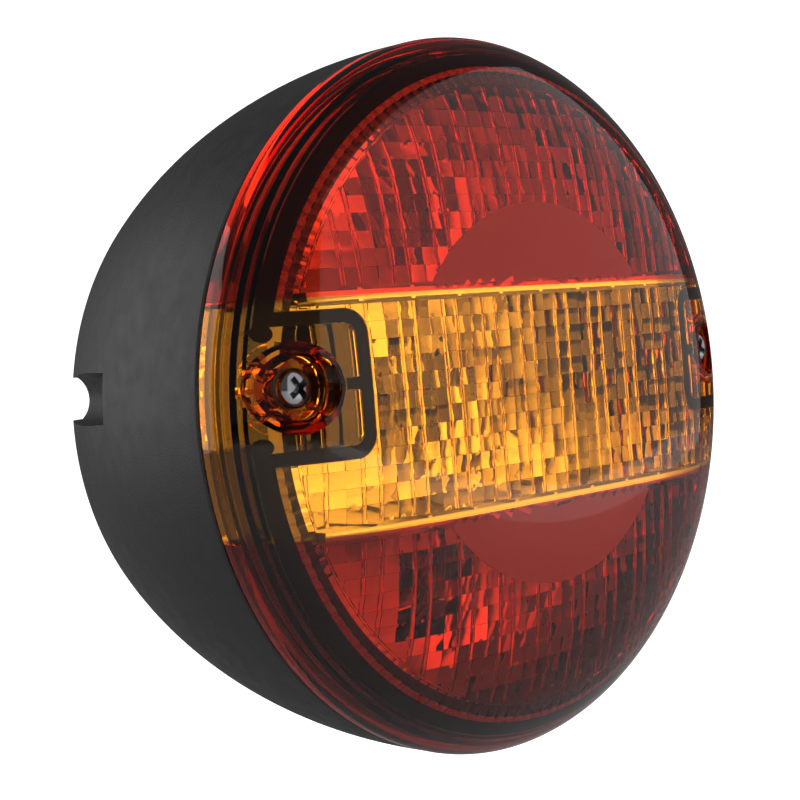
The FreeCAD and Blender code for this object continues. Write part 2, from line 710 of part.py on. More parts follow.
def make_bolt_seals():
    back = HOUSING_DEPTH - HOUSING_WALL
    seals = [ring(BOLT_SEAL_RADIUS, BOLT_HOLE, back - BOLT_SEAL_THICK, back, x, SCREW_Z)
             for x in (-BOLT_X, BOLT_X)]
    return Part.makeCompound(seals)


def make_cable_grommet():
    """Rubber grommet in the floor of the cable groove, with a flange inside the housing."""
    outside = HOUSING_DEPTH - GROOVE_DEPTH
    inside = outside - HOUSING_WALL
    solid = joined([
        rod(GROMMET_NECK, inside - GROMMET_LIP, outside + GROMMET_LIP, GROMMET_X, SCREW_Z),
        rod(GROMMET_FLANGE, inside - GROMMET_LIP, inside, GROMMET_X, SCREW_Z),
    ])
    return solid.cut(rod(GROMMET_HOLE, inside - 3, outside + 3, GROMMET_X, SCREW_Z))


def make_all():
    nodes = {
        "housing": make_housing(),
        "gasket": make_gasket(),
        "lens_screw_left": make_lens_screw(-SCREW_X),
        "lens_screw_right": make_lens_screw(SCREW_X),
        "screw_seal_left": make_screw_seal(-SCREW_X),
        "screw_seal_right": make_screw_seal(SCREW_X),
        "reflector": make_reflector(),
        "reflector_screws": make_reflector_screws(),
        "divider_upper": make_divider(BAND_HALF),
        "divider_lower": make_divider(-BAND_HALF),
        "holder_base_plate": make_holder_plate(),
        "carrier_screws": make_carrier_screws(),
        "earth_busbar": make_earth_busbar(),
        "terminal_block": make_terminal_block(),
        "terminal_screws": make_terminal_screws(),
        "mounting_bolts": make_mounting_bolts(),
        "bolt_seals": make_bolt_seals(),
        "cable_grommet": make_cable_grommet(),
    }
    nodes.update(lens_segments())
    ways = {"stop": 0, "indicator": 2, "tail": 3}
    for name, z, radius, length in CHAMBERS:
        nodes["feed_strip_" + name] = make_feed_strip(z, ways[name])
        nodes["holder_shell_" + name] = make_holder_shell(z)
        nodes["holder_insulator_" + name] = make_holder_insulator(z)
        nodes["plunger_" + name] = make_plunger(z)
        nodes["plunger_contact_" + name] = make_plunger_contact(z)
        nodes["plunger_spring_" + name] = make_plunger_spring(z)
        nodes["bulb_cap_" + name] = make_bulb_cap(z)
        nodes["bulb_glass_" + name] = make_bulb_glass(z, radius, length)
        nodes["bulb_filament_" + name] = make_bulb_filament(z, radius, length)
    return nodes


def main():
    os.makedirs("parts", exist_ok=True)
    for name, shape in make_all().items():
        shape.exportStep("parts/" + name + ".step")
        box = shape.BoundBox
        print(name, len(shape.Solids), "solids", shape.isValid(), "volume", round(shape.Volume, 1),
              "y", round(box.YMin, 1), round(box.YMax, 1))


main()
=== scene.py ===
"""Looks of the round three-colour trailer rear lamp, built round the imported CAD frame.

Shapes are worked out in millimetres and turned into metres when a mesh is made. The lamp's own
axis is Y: the lens looks along -Y. A depth d is counted along +Y from the seam between the lens
and the housing, so it is negative in the lens.
"""
import json
import math
from math import cos, pi, radians, sin

import bmesh
import bpy
import numpy as np
from mathutils import Matrix, Vector

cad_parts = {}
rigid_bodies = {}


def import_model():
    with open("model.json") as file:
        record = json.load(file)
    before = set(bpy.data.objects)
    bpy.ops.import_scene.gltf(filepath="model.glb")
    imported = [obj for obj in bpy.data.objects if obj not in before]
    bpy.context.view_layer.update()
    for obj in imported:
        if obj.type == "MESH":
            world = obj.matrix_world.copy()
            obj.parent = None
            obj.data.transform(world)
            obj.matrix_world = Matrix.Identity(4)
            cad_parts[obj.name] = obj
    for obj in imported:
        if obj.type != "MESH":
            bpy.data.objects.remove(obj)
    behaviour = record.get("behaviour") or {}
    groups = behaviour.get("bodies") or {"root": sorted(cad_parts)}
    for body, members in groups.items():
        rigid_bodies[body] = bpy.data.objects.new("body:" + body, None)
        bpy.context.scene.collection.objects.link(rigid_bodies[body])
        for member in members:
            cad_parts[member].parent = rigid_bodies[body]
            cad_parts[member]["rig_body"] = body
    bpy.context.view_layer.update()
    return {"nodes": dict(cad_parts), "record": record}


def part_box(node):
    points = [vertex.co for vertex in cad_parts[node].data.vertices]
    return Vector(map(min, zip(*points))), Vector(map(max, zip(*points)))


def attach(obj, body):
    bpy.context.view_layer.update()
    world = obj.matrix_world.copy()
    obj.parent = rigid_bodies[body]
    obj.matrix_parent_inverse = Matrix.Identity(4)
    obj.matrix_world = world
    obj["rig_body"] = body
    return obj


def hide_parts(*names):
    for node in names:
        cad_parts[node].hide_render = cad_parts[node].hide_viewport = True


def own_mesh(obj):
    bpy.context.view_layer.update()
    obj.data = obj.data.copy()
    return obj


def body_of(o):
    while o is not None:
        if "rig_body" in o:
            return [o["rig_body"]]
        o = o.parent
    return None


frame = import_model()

MM = 0.001
SEAM_Y = -60.0  # the seam, ahead of the rear mounting face
THROUGH = (-30, 10)  # front and back of a tool that goes right through the lens
PAST = (-31, 11)  # the same for a tool that cuts such a tool
RING_STEPS = 300  # steps round the wide rings
LENS_STEPS = 288
COIL_STEPS = 28  # steps in each turn of a coil
EDGE_ANGLE = 40.0  # degrees from which an edge counts as sharp when it is rounded

# Lens form, the same as the CAD lens
LENS_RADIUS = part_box("lens_amber_band")[1].x / MM
LENS_SKIRT = 2.4
LENS_RISE = 16.5
DOME_POWER = 4.67
DOME_ROUND = 1.51
LENS_WALL = 2.2
SEAM_GAP = 0.5
BAND_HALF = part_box("lens_amber_band")[1].z / MM

# Lens optics
COLUMN_PITCH = 3.35
ROW_PITCH = 3.1
COLUMN_SAG = 0.09
ROW_SAG = 0.07
CELL_LEAN = 0.15
RIDGE_HALF = 0.42
RIDGE_HEIGHT = 0.5
EDGE_HALF = 0.025  # half width of the step between neighbouring cells
OPTIC_RADIUS = 58.2
WINDOW_RADIUS = 35.9
PLAIN_STRIP = 1.6  # half width of the plain strips along the amber band
BEADS = 150
BEAD_START = 60.6
BEAD_WIDTH = 1.3
BEAD_END = 61.9
BEAD_SEAT = 0.12  # height of the ring that the beads stand on
RIM_RIBS = ((65.5, 66.2, 0.2), (64.45, 64.95, -1.0))  # inner and outer radius, end depth
RIM_RIB_SEEN = (64.4, 65.0)  # radii between which a rib's grained face is seen

# Gasket, and the housing's wall and ledge that carry it
GASKET_RADIUS = 63.0
GASKET_WIDTH = 2.4
GASKET_THICK = 2.2
GASKET_PRESS = 0.03  # the rubber bears on the lens
GASKET_END_RADIUS = 1.5
GASKET_END_REACH = 2.2
GASKET_ROOM = 0.15  # space left round the gasket in the optics
JOG_INNER_X = 45.2
JOG_HALF = 11.6
JOG_CORNER = 3.2
JOG_STUB_HALF = 1.0
LEDGE_FRONT = 1.0
LEDGE_BACK = 3.5

# Lens wells and lens screws
SCREW_X = 57.0
SCREW_Z = 5.25
WELL_RADIUS = 7.8
WELL_BORE = 5.4
WELL_BACK = -5.0
WELL_FLOOR = -8.8
WELL_HOLE = 2.4
SEAL_THICK = 0.8
SEAL_EASE = 0.03  # the seal stays this much clear of the turning head
SCREW_RADIUS = 2.0
SCREW_HEAD_RADIUS = 3.5
SCREW_HEAD_HEIGHT = 2.4
SCREW_PITCH = 1.4
SCREW_END = 17.0
SMALL_SCREW = (1.45, 2.8, 1.8, 1.0)  # thread radius, head radius, head height and pitch
SMALL_SCREW_HOLE = 1.7
SMALL_SCREW_BORE = 1.5
POST_RADIUS = 4.5
POST_FRONT = -4.7
POST_BACK = 24.0

# Housing
HOUSING_DEPTH = 60.0
HOUSING_WALL = 2.5
COLLAR_INNER = 58.7  # dark collar inside the gasket
COLLAR_OUTER = 60.5
COLLAR_SPARE = 1.6  # the collar stays this far behind the lens
BOSS_BACK = 58
SPACER_RADIUS = 4.0
BOWL_MIDDLE = (66.7, 30.0)
BOWL_BACK_RADIUS = 55.9
BOWL_EDGE = 7.0
BOWL_EDGE_SHRINK = 0.8
GROOVE_RADIUS = 5.0
GROOVE_FRONT_X = -65.5
GROOVE_FRONT = 33.5
GROOVE_LEAN = 4.2
GROOVE_END_X = -38.5
GROOVE_DEPTH = 7.0

# Reflector, dividers and bulbs: name, height, glass radius and glass length
CHAMBERS = (("stop", 38.5, 12.5, 33.0), ("indicator", 0.0, 12.5, 33.0), ("tail", -38.5, 9.5, 20.0))
CHAMBER_HEIGHTS = [chamber[1] for chamber in CHAMBERS]
SPACER_HEIGHTS = [(high + low) / 2 for high, low in zip(CHAMBER_HEIGHTS, CHAMBER_HEIGHTS[1:])]
PAN_FRONT = 3.8
PAN_FLOOR = 12.8
PAN_WALL = 1.5
PAN_FRONT_RADIUS = 58.5
PAN_FLOOR_RADIUS = 54.0
DISH_RADIUS = 18.0
DISH_DEPTH = 5.6
BULB_HOLE = 11.5
PAN_SCREW_X = 36.0
PAN_SCREW_Z = 28.0
PAN_POST_RADIUS = 3.5
DIVIDER_THICK = 1.6
DIVIDER_BACK = 12.6
DIVIDER_HALF = 53.5
CAP_RADIUS = 7.62
CAP_FRONT = 28.0
CAP_BACK = 46.2
GLASS = 0.7
POST_WIRE = 0.22
CONTACT_PLANE = 47.0
PIN_DEPTH = 39.8
SHELL_BORE = 7.9
SHELL_OUTER = 8.5
SHELL_FRONT = 26.0
SHELL_BACK = 55.5
INSULATOR_THICK = 1.5
TWIST_ANGLE = 30.0
PUSH_TRAVEL = 2.5
PIN_CLEAR = 1.15  # half height of the bayonet slots
SLOT_WIDEN = 8.4  # degrees that each slot runs past its pin's travel

# Carrier plate, terminals and rear face
PLATE_FRONT = 30.0
PLATE_BACK = 32.5
STRIP_THICK = 0.8
STRIP_HALF = 2.0
STRIP_EDGE = 0.12
ARM_START = 12
ARM_END = 16
BLOCK_LEFT = 34.0
BLOCK_RIGHT = 46.0
BLOCK_FRONT = 44.0
BLOCK_BACK = 57.5
BLOCK_WAYS = 4
FEED_WAYS = (0, 2, 3)  # the terminal of each chamber's feed strip; way 1 is the earth
BLOCK_PITCH = 9.0
BLOCK_CENTRE_Z = 0.5
BOLT_X = 22.5
BOLT_RADIUS = 2.5
BOLT_THREAD = (0.42, 0.8)  # depth and pitch
BOLT_REACH = 18.0  # of the stud behind the mounting face
BOLT_HEAD_CORNER = 8.0 / math.sqrt(3)
BOLT_HEAD_HEIGHT = 3.5
BOLT_SEAL_RADIUS = 6.0
BOLT_SEAL_THICK = 1.2
BOLT_BORE = 2.6
GROMMET_X = -43.5
GROMMET_BORE = 4.0

# ---------- mesh making

def placed(obj):
    bpy.context.scene.collection.objects.link(obj)
    return obj


def make_object(name, points, faces):
    """Mesh object from points in millimetres, x across, d in depth, z up."""
    mesh = bpy.data.meshes.new(name)
    mesh.from_pydata([(x * MM, (d + SEAM_Y) * MM, z * MM) for x, d, z in points], [], faces)
    work = bmesh.new()
    work.from_mesh(mesh)
    bmesh.ops.recalc_face_normals(work, faces=work.faces)
    work.to_mesh(mesh)
    work.free()
    return placed(bpy.data.objects.new(name, mesh))


def lathe(name, profile, steps=160, x=0.0, z=0.0):
    """Closed solid turned about an axis along Y from a closed profile of (radius, depth)."""
    points = []
    rings = []
    for radius, depth in profile:
        if radius < 1e-6:
            rings.append([len(points)])
            points.append((x, depth, z))
            continue
        rings.append(list(range(len(points), len(points) + steps)))
        for i in range(steps):
            angle = 2 * pi * i / steps
            points.append((x + radius * cos(angle), depth, z + radius * sin(angle)))
    faces = []
    for here, there in zip(rings, rings[1:] + rings[:1]):
        if len(here) == 1 and len(there) == 1:
            continue
        for i in range(steps):
            j = (i + 1) % steps
            face = [here[i % len(here)], here[j % len(here)],
                    there[j % len(there)], there[i % len(there)]]
            faces.append(list(dict.fromkeys(face)))
    return make_object(name, points, faces)


def tube(name, radius, front, back, x=0.0, z=0.0, steps=96):
    return lathe(name, [(0, front), (radius, front), (radius, back), (0, back)], steps, x, z)


def ring(name, inside, outside, front, back, steps=RING_STEPS):
    return lathe(name, [(inside, front), (outside, front), (outside, back), (inside, back)], steps)


def prism(name, outline, front, back):
    """Solid between two depths with an outline of (x, z) points."""
    return skin(name, [[(x, depth, z) for x, z in outline] for depth in (front, back)])


def brick(name, x0, x1, front, back, z0, z1):
    return prism(name, [(x0, z0), (x1, z0), (x1, z1), (x0, z1)], front, back)


def settle(obj):
    """Replaces a piece's mesh by what its modifiers make of it."""
    bpy.context.view_layer.update()
    graph = bpy.context.evaluated_depsgraph_get()
    mesh = bpy.data.meshes.new_from_object(obj.evaluated_get(graph))
    obj.modifiers.clear()
    obj.data = mesh
    return obj


def combine(base, tool, operation):
    """Base joined with, cut by or kept inside a tool, which is used up."""
    step = base.modifiers.new("combine", "BOOLEAN")
    step.operation = operation
    step.solver = "MANIFOLD"
    step.object = tool
    settle(base)
    bpy.data.objects.remove(tool)
    return base


def joined(base, *tools):
    for tool in tools:
        combine(base, tool, "UNION")
    return base


def cut(base, *tools):
    for tool in tools:
        combine(base, tool, "DIFFERENCE")
    return base


def kept_in(base, tool):
    return combine(base, tool, "INTERSECT")


def arc(centre_r, centre_d, radius, start, end, steps):
    """Points on an arc in the (radius, depth) plane, angles in degrees from the radial way."""
    angles = [radians(start + (end - start) * i / steps) for i in range(steps + 1)]
    return [(centre_r + radius * cos(a), centre_d + radius * sin(a)) for a in angles]


def skin(name, loops, closed=False):
    """Closed solid over a row of loops of points, with flat ends or running back to its start."""
    count = len(loops[0])
    points = [point for loop in loops for point in loop]
    faces = [] if closed else [list(range(count)), list(range(len(points) - count, len(points)))]
    for here in range(len(loops) - (not closed)):
        there = (here + 1) % len(loops)
        for i in range(count):
            j = (i + 1) % count
            faces.append([here * count + i, here * count + j, there * count + j, there * count + i])
    return make_object(name, points, faces)


def coil_loops(radius, wire, length, turns, sides=10):
    """Loops of a coil wound round its first axis, from 0 to a length."""
    steps = turns * COIL_STEPS
    loops = []
    for k in range(steps + 1):
        angle = 2 * pi * k / COIL_STEPS
        loop = []
        for i in range(sides):
            around = 2 * pi * i / sides
            r = radius + wire * cos(around)
            loop.append((length * k / steps + wire * sin(around),
                         r * cos(angle), r * sin(angle)))
        loops.append(loop)
    return loops


def thread(name, radius, cut_depth, pitch, front, back, x, z, steps=36):
    """Threaded rod along the depth, with its thread fading out at both ends."""
    rows = max(int((back - front) / pitch * 8), 8)
    loops = []
    for row in range(rows + 1):
        d = front + (back - front) * row / rows
        fade = min(1.0, (d - front) / pitch + 0.05, (back - d) / pitch * 0.7 + 0.05)
        loop = []
        for i in range(steps):
            phase = (d / pitch - i / steps) % 1.0
            tooth = min(1.0, 1.6 * abs(2 * phase - 1))
            r = radius - cut_depth * (1 - tooth * fade)
            angle = 2 * pi * i / steps
            loop.append((x + r * cos(angle), d, z + r * sin(angle)))
        loops.append(loop)
    return skin(name, loops)


def taper(name, half_x, half_z, front, back, shrink, x, z, turn=0.0):
    """Four-sided block that narrows from its front to its back."""
    loops = []
    for depth, scale in ((front, 1.0), (back, shrink)):
        loop = []
        for side_x, side_z in ((-1, -1), (1, -1), (1, 1), (-1, 1)):
            across, up = side_x * half_x * scale, side_z * half_z * scale
            loop.append((x + across * cos(turn) - up * sin(turn), depth,
                         z + across * sin(turn) + up * cos(turn)))
        loops.append(loop)
    return skin(name, loops)


def eased(obj, width):
    """Rounds the sharp edges of a piece."""
    step = obj.modifiers.new("ease", "BEVEL")
    step.width = width * MM
    step.segments = 2
    step.limit_method = "ANGLE"
    step.angle_limit = radians(EDGE_ANGLE)
    return settle(obj)


def beside(side, near, far):
    """Low and high x of a span on one side of the middle."""
    return sorted((side * near, side * far))


def about(middle, half):
    return middle - half, middle + half


def near(r, d, *steps):
    """Profile points at small steps away from one point of a profile."""
    return [(r + across, d + along) for across, along in steps]


# ---------- materials

def material(name):
    """New node material, its node tree and its Principled shader."""
    made = bpy.data.materials.new(name)
    made.use_nodes = True
    tree = made.node_tree
    return made, tree, tree.nodes["Principled BSDF"]


def put(tree, made, values):
    """Sets inputs of a node, each to a value or to what another node gives."""
    for name, value in values.items():
        if isinstance(value, bpy.types.NodeSocket):
            tree.links.new(value, made.inputs[name])
        else:
            made.inputs[name].default_value = value
    return made


def add(tree, kind, values, **settings):
    made = tree.nodes.new("ShaderNode" + kind)
    for name, setting in settings.items():
        setattr(made, name, setting)
    return put(tree, made, values)


def noise(tree, scale, detail, stretch=(1, 1, 1)):
    """Noise in object space, scale in features per metre."""
    mapping = add(tree, "Mapping", {"Scale": stretch, "Vector": add(tree, "TexCoord", {}).outputs["Object"]})
    values = {"Scale": scale, "Detail": detail, "Vector": mapping.outputs["Vector"]}
    return add(tree, "TexNoise", values).outputs["Fac"]


def between(tree, factor, low, high):
    """Value that runs from low to high with a factor that lies mostly in 0.3 to 0.7."""
    values = {"From Min": 0.3, "From Max": 0.7, "To Min": low, "To Max": high, "Value": factor}
    return add(tree, "MapRange", values).outputs["Result"]


def mixed_colour(tree, factor, first, second):
    values = {"A": (*first, 1), "B": (*second, 1), "Factor": factor}
    return add(tree, "Mix", values, data_type="RGBA").outputs["Result"]


def bump(tree, shader, height, distance, strength=1.0):
    relief = add(tree, "Bump", {"Distance": distance, "Strength": strength, "Height": height})
    put(tree, shader, {"Normal": relief.outputs["Normal"]})


def grained(name, dark, light, roughness, scale, depth, metallic=0.0, stretch=(1, 1, 1), specular=0.5):
    """Material whose colour, roughness and fine relief vary with noise."""
    made, tree, shader = material(name)
    broad = noise(tree, scale / 12, 3, stretch)
    put(tree, shader, {"Base Color": mixed_colour(tree, between(tree, broad, 0, 1), dark, light),
                       "Roughness": between(tree, broad, *roughness), "Metallic": metallic,
                       "Specular IOR Level": specular})
    bump(tree, shader, noise(tree, scale, 3, stretch), depth)
    return made


def clear_plastic(name, pass_colour, density, roughness=(0.0, 0.03)):
    """Transparent plastic that takes its colour from the way light goes through it."""
    made, tree, shader = material(name)
    put(tree, shader, {"Base Color": (1, 1, 1, 1), "Transmission Weight": 1.0, "IOR": 1.49,
                       "Roughness": between(tree, noise(tree, 60, 2), *roughness)})
    bump(tree, shader, noise(tree, 260, 2), FINE, 0.3)
    volume = add(tree, "VolumeAbsorption", {"Color": (*pass_colour, 1), "Density": density})
    put(tree, tree.nodes["Material Output"], {"Volume": volume.outputs["Volume"]})
    return made


FINE = 0.00001  # depth of relief in metres
COARSE = 0.00003
RED = (0.90, 0.45, 0.25)
RED_DENSITY = 1400
AMBER = (0.993, 0.81, 0.28)
AMBER_DENSITY = 1000
WINDOW_CLEAR = 0.45  # share of light that goes straight through a grained face
RIM_CLEAR = 0.55
GRAINED = {  # dark and light colour, roughness, features per metre, relief, metallic
    "housing_plastic": ((0.012, 0.012, 0.0125), (0.019, 0.019, 0.0195), (0.42, 0.55), 3200, 0.00006),
    "gasket_rubber": ((0.004, 0.004, 0.004), (0.009, 0.009, 0.009), (0.6, 0.75), 1500, COARSE, 0.0,
                      (1, 1, 1), 0.15),
    "plated_steel": ((0.38, 0.38, 0.39), (0.5, 0.5, 0.51), (0.1, 0.22), 2500, FINE, 1.0),
    "seal_rubber": ((0.012, 0.012, 0.012), (0.03, 0.03, 0.03), (0.5, 0.7), 1800, COARSE),
    "metallised_plastic": ((0.80, 0.80, 0.81), (0.9, 0.9, 0.9), (0.3, 0.42), 500, COARSE, 1.0),
    "divider_plastic": ((0.55, 0.55, 0.56), (0.7, 0.7, 0.7), (0.3, 0.45), 700, COARSE, 0.9),
    "carrier_plastic": ((0.60, 0.58, 0.52), (0.72, 0.70, 0.64), (0.4, 0.55), 1500, COARSE),
    "brass": ((0.60, 0.40, 0.14), (0.78, 0.55, 0.24), (0.2, 0.38), 1800, 0.00002, 1.0, (1, 1, 6)),
    "insulator_board": ((0.10, 0.035, 0.012), (0.19, 0.07, 0.025), (0.4, 0.6), 900, COARSE),
    "spring_steel": ((0.42, 0.42, 0.43), (0.56, 0.56, 0.57), (0.2, 0.35), 2200, FINE, 1.0),
    "bulb_cap_metal": ((0.60, 0.55, 0.44), (0.74, 0.70, 0.60), (0.18, 0.32), 1500, FINE, 1.0),
    "filament": ((0.20, 0.20, 0.21), (0.34, 0.34, 0.36), (0.3, 0.5), 4000, FINE, 1.0),
}
FINISH = {slot: grained(slot + "_finish", *look) for slot, look in GRAINED.items()}
FINISH["lens_red"] = clear_plastic("lens_red_finish", RED, RED_DENSITY)
FINISH["lens_amber"] = clear_plastic("lens_amber_finish", AMBER, AMBER_DENSITY)
FINISH["bulb_glass"] = clear_plastic("bulb_glass_finish", (1, 1, 1), 0.0, (0.0, 0.02))


def hazy(name, colour, density, clear_share):
    """The lens plastic with a fine grained face that scatters part of the light.

    Seen from inside the plastic the face is white, as the plastic itself gives the colour; seen
    from behind the lens it has the colour of light that has passed the lens wall once.
    """
    made = clear_plastic(name, colour, density, (0.4, 0.55))
    tree = made.node_tree
    passed = [math.exp(-density * LENS_WALL * MM * (1 - share)) for share in colour]
    inside = add(tree, "NewGeometry", {}).outputs["Backfacing"]
    put(tree, tree.nodes["Principled BSDF"], {"Transmission Weight": clear_share,
                                              "Base Color": mixed_colour(tree, inside, passed, (1, 1, 1))})
    return made


HAZY = {}
for slot, hue in (("lens_red", (RED, RED_DENSITY)), ("lens_amber", (AMBER, AMBER_DENSITY))):
    HAZY[slot] = (hazy(slot + "_window", *hue, WINDOW_CLEAR), hazy(slot + "_rim", *hue, RIM_CLEAR))
SLOT_OF = {entry["node"]: entry["material_slot"] for entry in frame["record"]["subparts"]}


def finish_piece(piece, node, degrees):
    """Gives a piece the body, slot and finish of the CAD node that it stands for."""
    piece.data.shade_smooth()
    piece.data.set_sharp_from_angle(angle=radians(degrees))
    piece.name = node + "_shape"
    if not any(piece.data.materials):
        piece.data.materials.clear()
        piece.data.materials.append(FINISH[SLOT_OF[node]])
    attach(piece, body_of(frame["nodes"][node])[0])
    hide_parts(node)
    return piece


def turned(node, profile, x, z, steps=72, degrees=40):
    """Piece that is wholly turned from a profile."""
    return finish_piece(lathe(node, profile, steps, x, z), node, degrees)


# ---------- lens

def dome_depth(r, inset=0.0):
    """Depth of the lens surface at radius r, or of the surface inset behind it."""
    share = 1.0 - min(r / (LENS_RADIUS - inset), 1.0) ** DOME_POWER
    return -(LENS_SKIRT + (LENS_RISE - inset) * share ** (1.0 / DOME_ROUND))


def dome_points(inset, steps):
    radii = [(LENS_RADIUS - inset) * sin(pi / 2 * i / steps) for i in range(steps + 1)]
    return [(r, dome_depth(r, inset)) for r in radii]


def dome_solid(name, inset, back):
    """Everything from the lens surface, or from the surface inset behind it, back to a depth."""
    edge = LENS_RADIUS - inset
    return lathe(name, dome_points(inset, 40) + [(edge, back), (0, back)], 200)


def jog_outline(grow, side):
    """Rounded outline round one lens screw, running out past the rim."""
    inner = JOG_INNER_X - grow
    half = JOG_HALF + grow
    corner = JOG_CORNER + grow
    outline = [(LENS_RADIUS + 2, SCREW_Z - half), (LENS_RADIUS + 2, SCREW_Z + half)]
    for start, z in ((90, SCREW_Z + half - corner), (180, SCREW_Z - half + corner)):
        for i in range(13):
            angle = radians(start + 90 * i / 12)
            outline.append((inner + corner + corner * cos(angle), z + corner * sin(angle)))
    return [(side * x, z) for x, z in outline]


def gasket_path(front, back):
    """The gasket's plan as one wall: a ring with a jog inwards round each lens screw."""
    half = GASKET_WIDTH / 2
    inside = GASKET_RADIUS - half
    outside = GASKET_RADIUS + half
    wall = ring("wall", inside, outside, front, back)
    for side in (-1, 1):
        cut(wall, prism("jog", jog_outline(-half, side), front - 1, back + 1))
    for side in (-1, 1):
        jog = prism("jog", jog_outline(half, side), front, back)
        cut(jog, prism("hole", jog_outline(-half, side), front - 1, back + 1))
        kept_in(jog, tube("disc", outside, front - 1, back + 1, steps=RING_STEPS))
        joined(wall, jog)
        reach = beside(side, JOG_INNER_X, SCREW_X - WELL_RADIUS - 0.2)
        joined(wall, brick("stub", *reach, front, back, *about(SCREW_Z, JOG_STUB_HALF)))
        for lift in (-1, 1):
            z = SCREW_Z + lift * (JOG_HALF - GASKET_END_REACH)
            x = side * math.sqrt(GASKET_RADIUS ** 2 - z ** 2)
            joined(wall, tube("blob", GASKET_END_RADIUS, front, back, x, z, 40))
    return wall


def column_lines():
    """Grid lines across the optics, closer together at each ridge."""
    count = int(OPTIC_RADIUS / COLUMN_PITCH) + 2
    share = [1.0, 0.94, 0.8, 0.55, 0.25]
    near = [-RIDGE_HALF * f for f in share] + [-EDGE_HALF, EDGE_HALF]
    near += [RIDGE_HALF * f for f in share[::-1]]
    wide = COLUMN_PITCH - 2 * RIDGE_HALF
    lines = []
    for column in range(-count, count):
        edge = column * COLUMN_PITCH
        lines += [edge + offset for offset in near]
        lines += [edge + RIDGE_HALF + wide * i / 5 for i in range(1, 5)]
    return np.array(lines)


def row_lines():
    count = int(OPTIC_RADIUS / ROW_PITCH) + 2
    lines = []
    for row in range(-count, count):
        edge = row * ROW_PITCH
        lines += [edge - EDGE_HALF, edge + EDGE_HALF]
        lines += [edge + ROW_PITCH * i / 4 for i in range(1, 4)]
    return np.array(lines)


def optic_plate():
    """Solid behind the lens shell that carries the pillow optics and their upright ridges."""
    xs = column_lines()
    zs = row_lines()
    across, up = np.meshgrid(xs, zs)
    radius = np.minimum(np.hypot(across, up), LENS_RADIUS - LENS_WALL - 4)
    share = 1 - (radius / (LENS_RADIUS - LENS_WALL)) ** DOME_POWER
    base = -(LENS_SKIRT + (LENS_RISE - LENS_WALL) * share ** (1 / DOME_ROUND))
    column = np.floor(across / COLUMN_PITCH + 1e-6)
    row = np.floor(up / ROW_PITCH + 1e-6)
    u = 2 * (across / COLUMN_PITCH - column) - 1
    v = 2 * (up / ROW_PITCH - row) - 1
    draw = np.random.default_rng(7)
    tilts = draw.uniform(-1, 1, (2, 90, 90))
    pick = ((column + 45).astype(int) % 90, (row + 45).astype(int) % 90)
    lean = CELL_LEAN * (tilts[0][pick] * u + tilts[1][pick] * v)
    in_jog = (np.abs(across) > JOG_INNER_X) & (np.abs(up - SCREW_Z) < JOG_HALF)
    relief = COLUMN_SAG * (1 - u * u) + np.where(in_jog, 0, ROW_SAG * (1 - v * v) + lean)
    nearest = np.round(across / COLUMN_PITCH)
    away = np.abs(across - nearest * COLUMN_PITCH) / RIDGE_HALF
    ridge = RIDGE_HEIGHT * np.sqrt(np.clip(1 - away * away, 0, 1))
    relief = relief + np.where(nearest % 3 == 0, 0, ridge)
    back = base + 0.2 + relief
    front = base - 1.0
    rows, columns = across.shape
    points = np.stack([across, back, up], -1).reshape(-1, 3)
    under = np.stack([across, front, up], -1).reshape(-1, 3)
    index = np.arange(rows * columns).reshape(rows, columns)
    corners = [index[:-1, :-1], index[:-1, 1:], index[1:, 1:], index[1:, :-1]]
    quads = np.stack(corners, -1).reshape(-1, 4)
    total = rows * columns
    edge = list(index[0, :]) + list(index[1:, -1]) + list(index[-1, -2::-1]) + list(index[-2:0:-1, 0])
    sides = [[a, b, b + total, a + total] for a, b in zip(edge, edge[1:] + edge[:1])]
    faces = quads.tolist() + (quads + total).tolist() + sides
    return make_object("optics", np.concatenate([points, under]).tolist(), faces)


def trimmed_optics():
    """The optic plate inside its circle, with the windows, strips, wells and gasket left out."""
    plate = kept_in(optic_plate(), tube("disc", OPTIC_RADIUS, *THROUGH, steps=RING_STEPS))
    strip = BAND_HALF + PLAIN_STRIP
    half = GASKET_WIDTH / 2 + GASKET_ROOM
    for side in (-1, 1):
        window = tube("window", WINDOW_RADIUS, *THROUGH, steps=200)
        kept_in(window, brick("half", -60, 60, *PAST, *beside(side, strip - 0.5, 80)))
        cut(plate, window)
        cut(plate, brick("strip", -80, 80, *THROUGH, *beside(side, BAND_HALF - PLAIN_STRIP, strip)))
        cut(plate, tube("well", WELL_RADIUS - 0.5, *THROUGH, side * SCREW_X, SCREW_Z))
        bed = prism("bed", jog_outline(half, side), *THROUGH)
        cut(bed, prism("inside", jog_outline(-half, side), *PAST))
        cut(plate, bed)
        stub = beside(side, JOG_INNER_X, SCREW_X)
        cut(plate, brick("stub", *stub, *THROUGH, *about(SCREW_Z, JOG_STUB_HALF + GASKET_ROOM)))
    return plate


def bead_height(r, angle):
    """Relief of the ring of fine radial ticks and the ring of beads outside it."""
    if r >= BEAD_END:
        return BEAD_SEAT
    if r > BEAD_START:
        bead = max(0.0, cos(angle * BEADS)) ** 0.5
        return BEAD_SEAT + 0.5 * bead * sin(pi * (r - BEAD_START) / BEAD_WIDTH) ** 0.5
    return BEAD_SEAT + 0.16 * abs(cos(angle * BEADS / 2)) ** 8


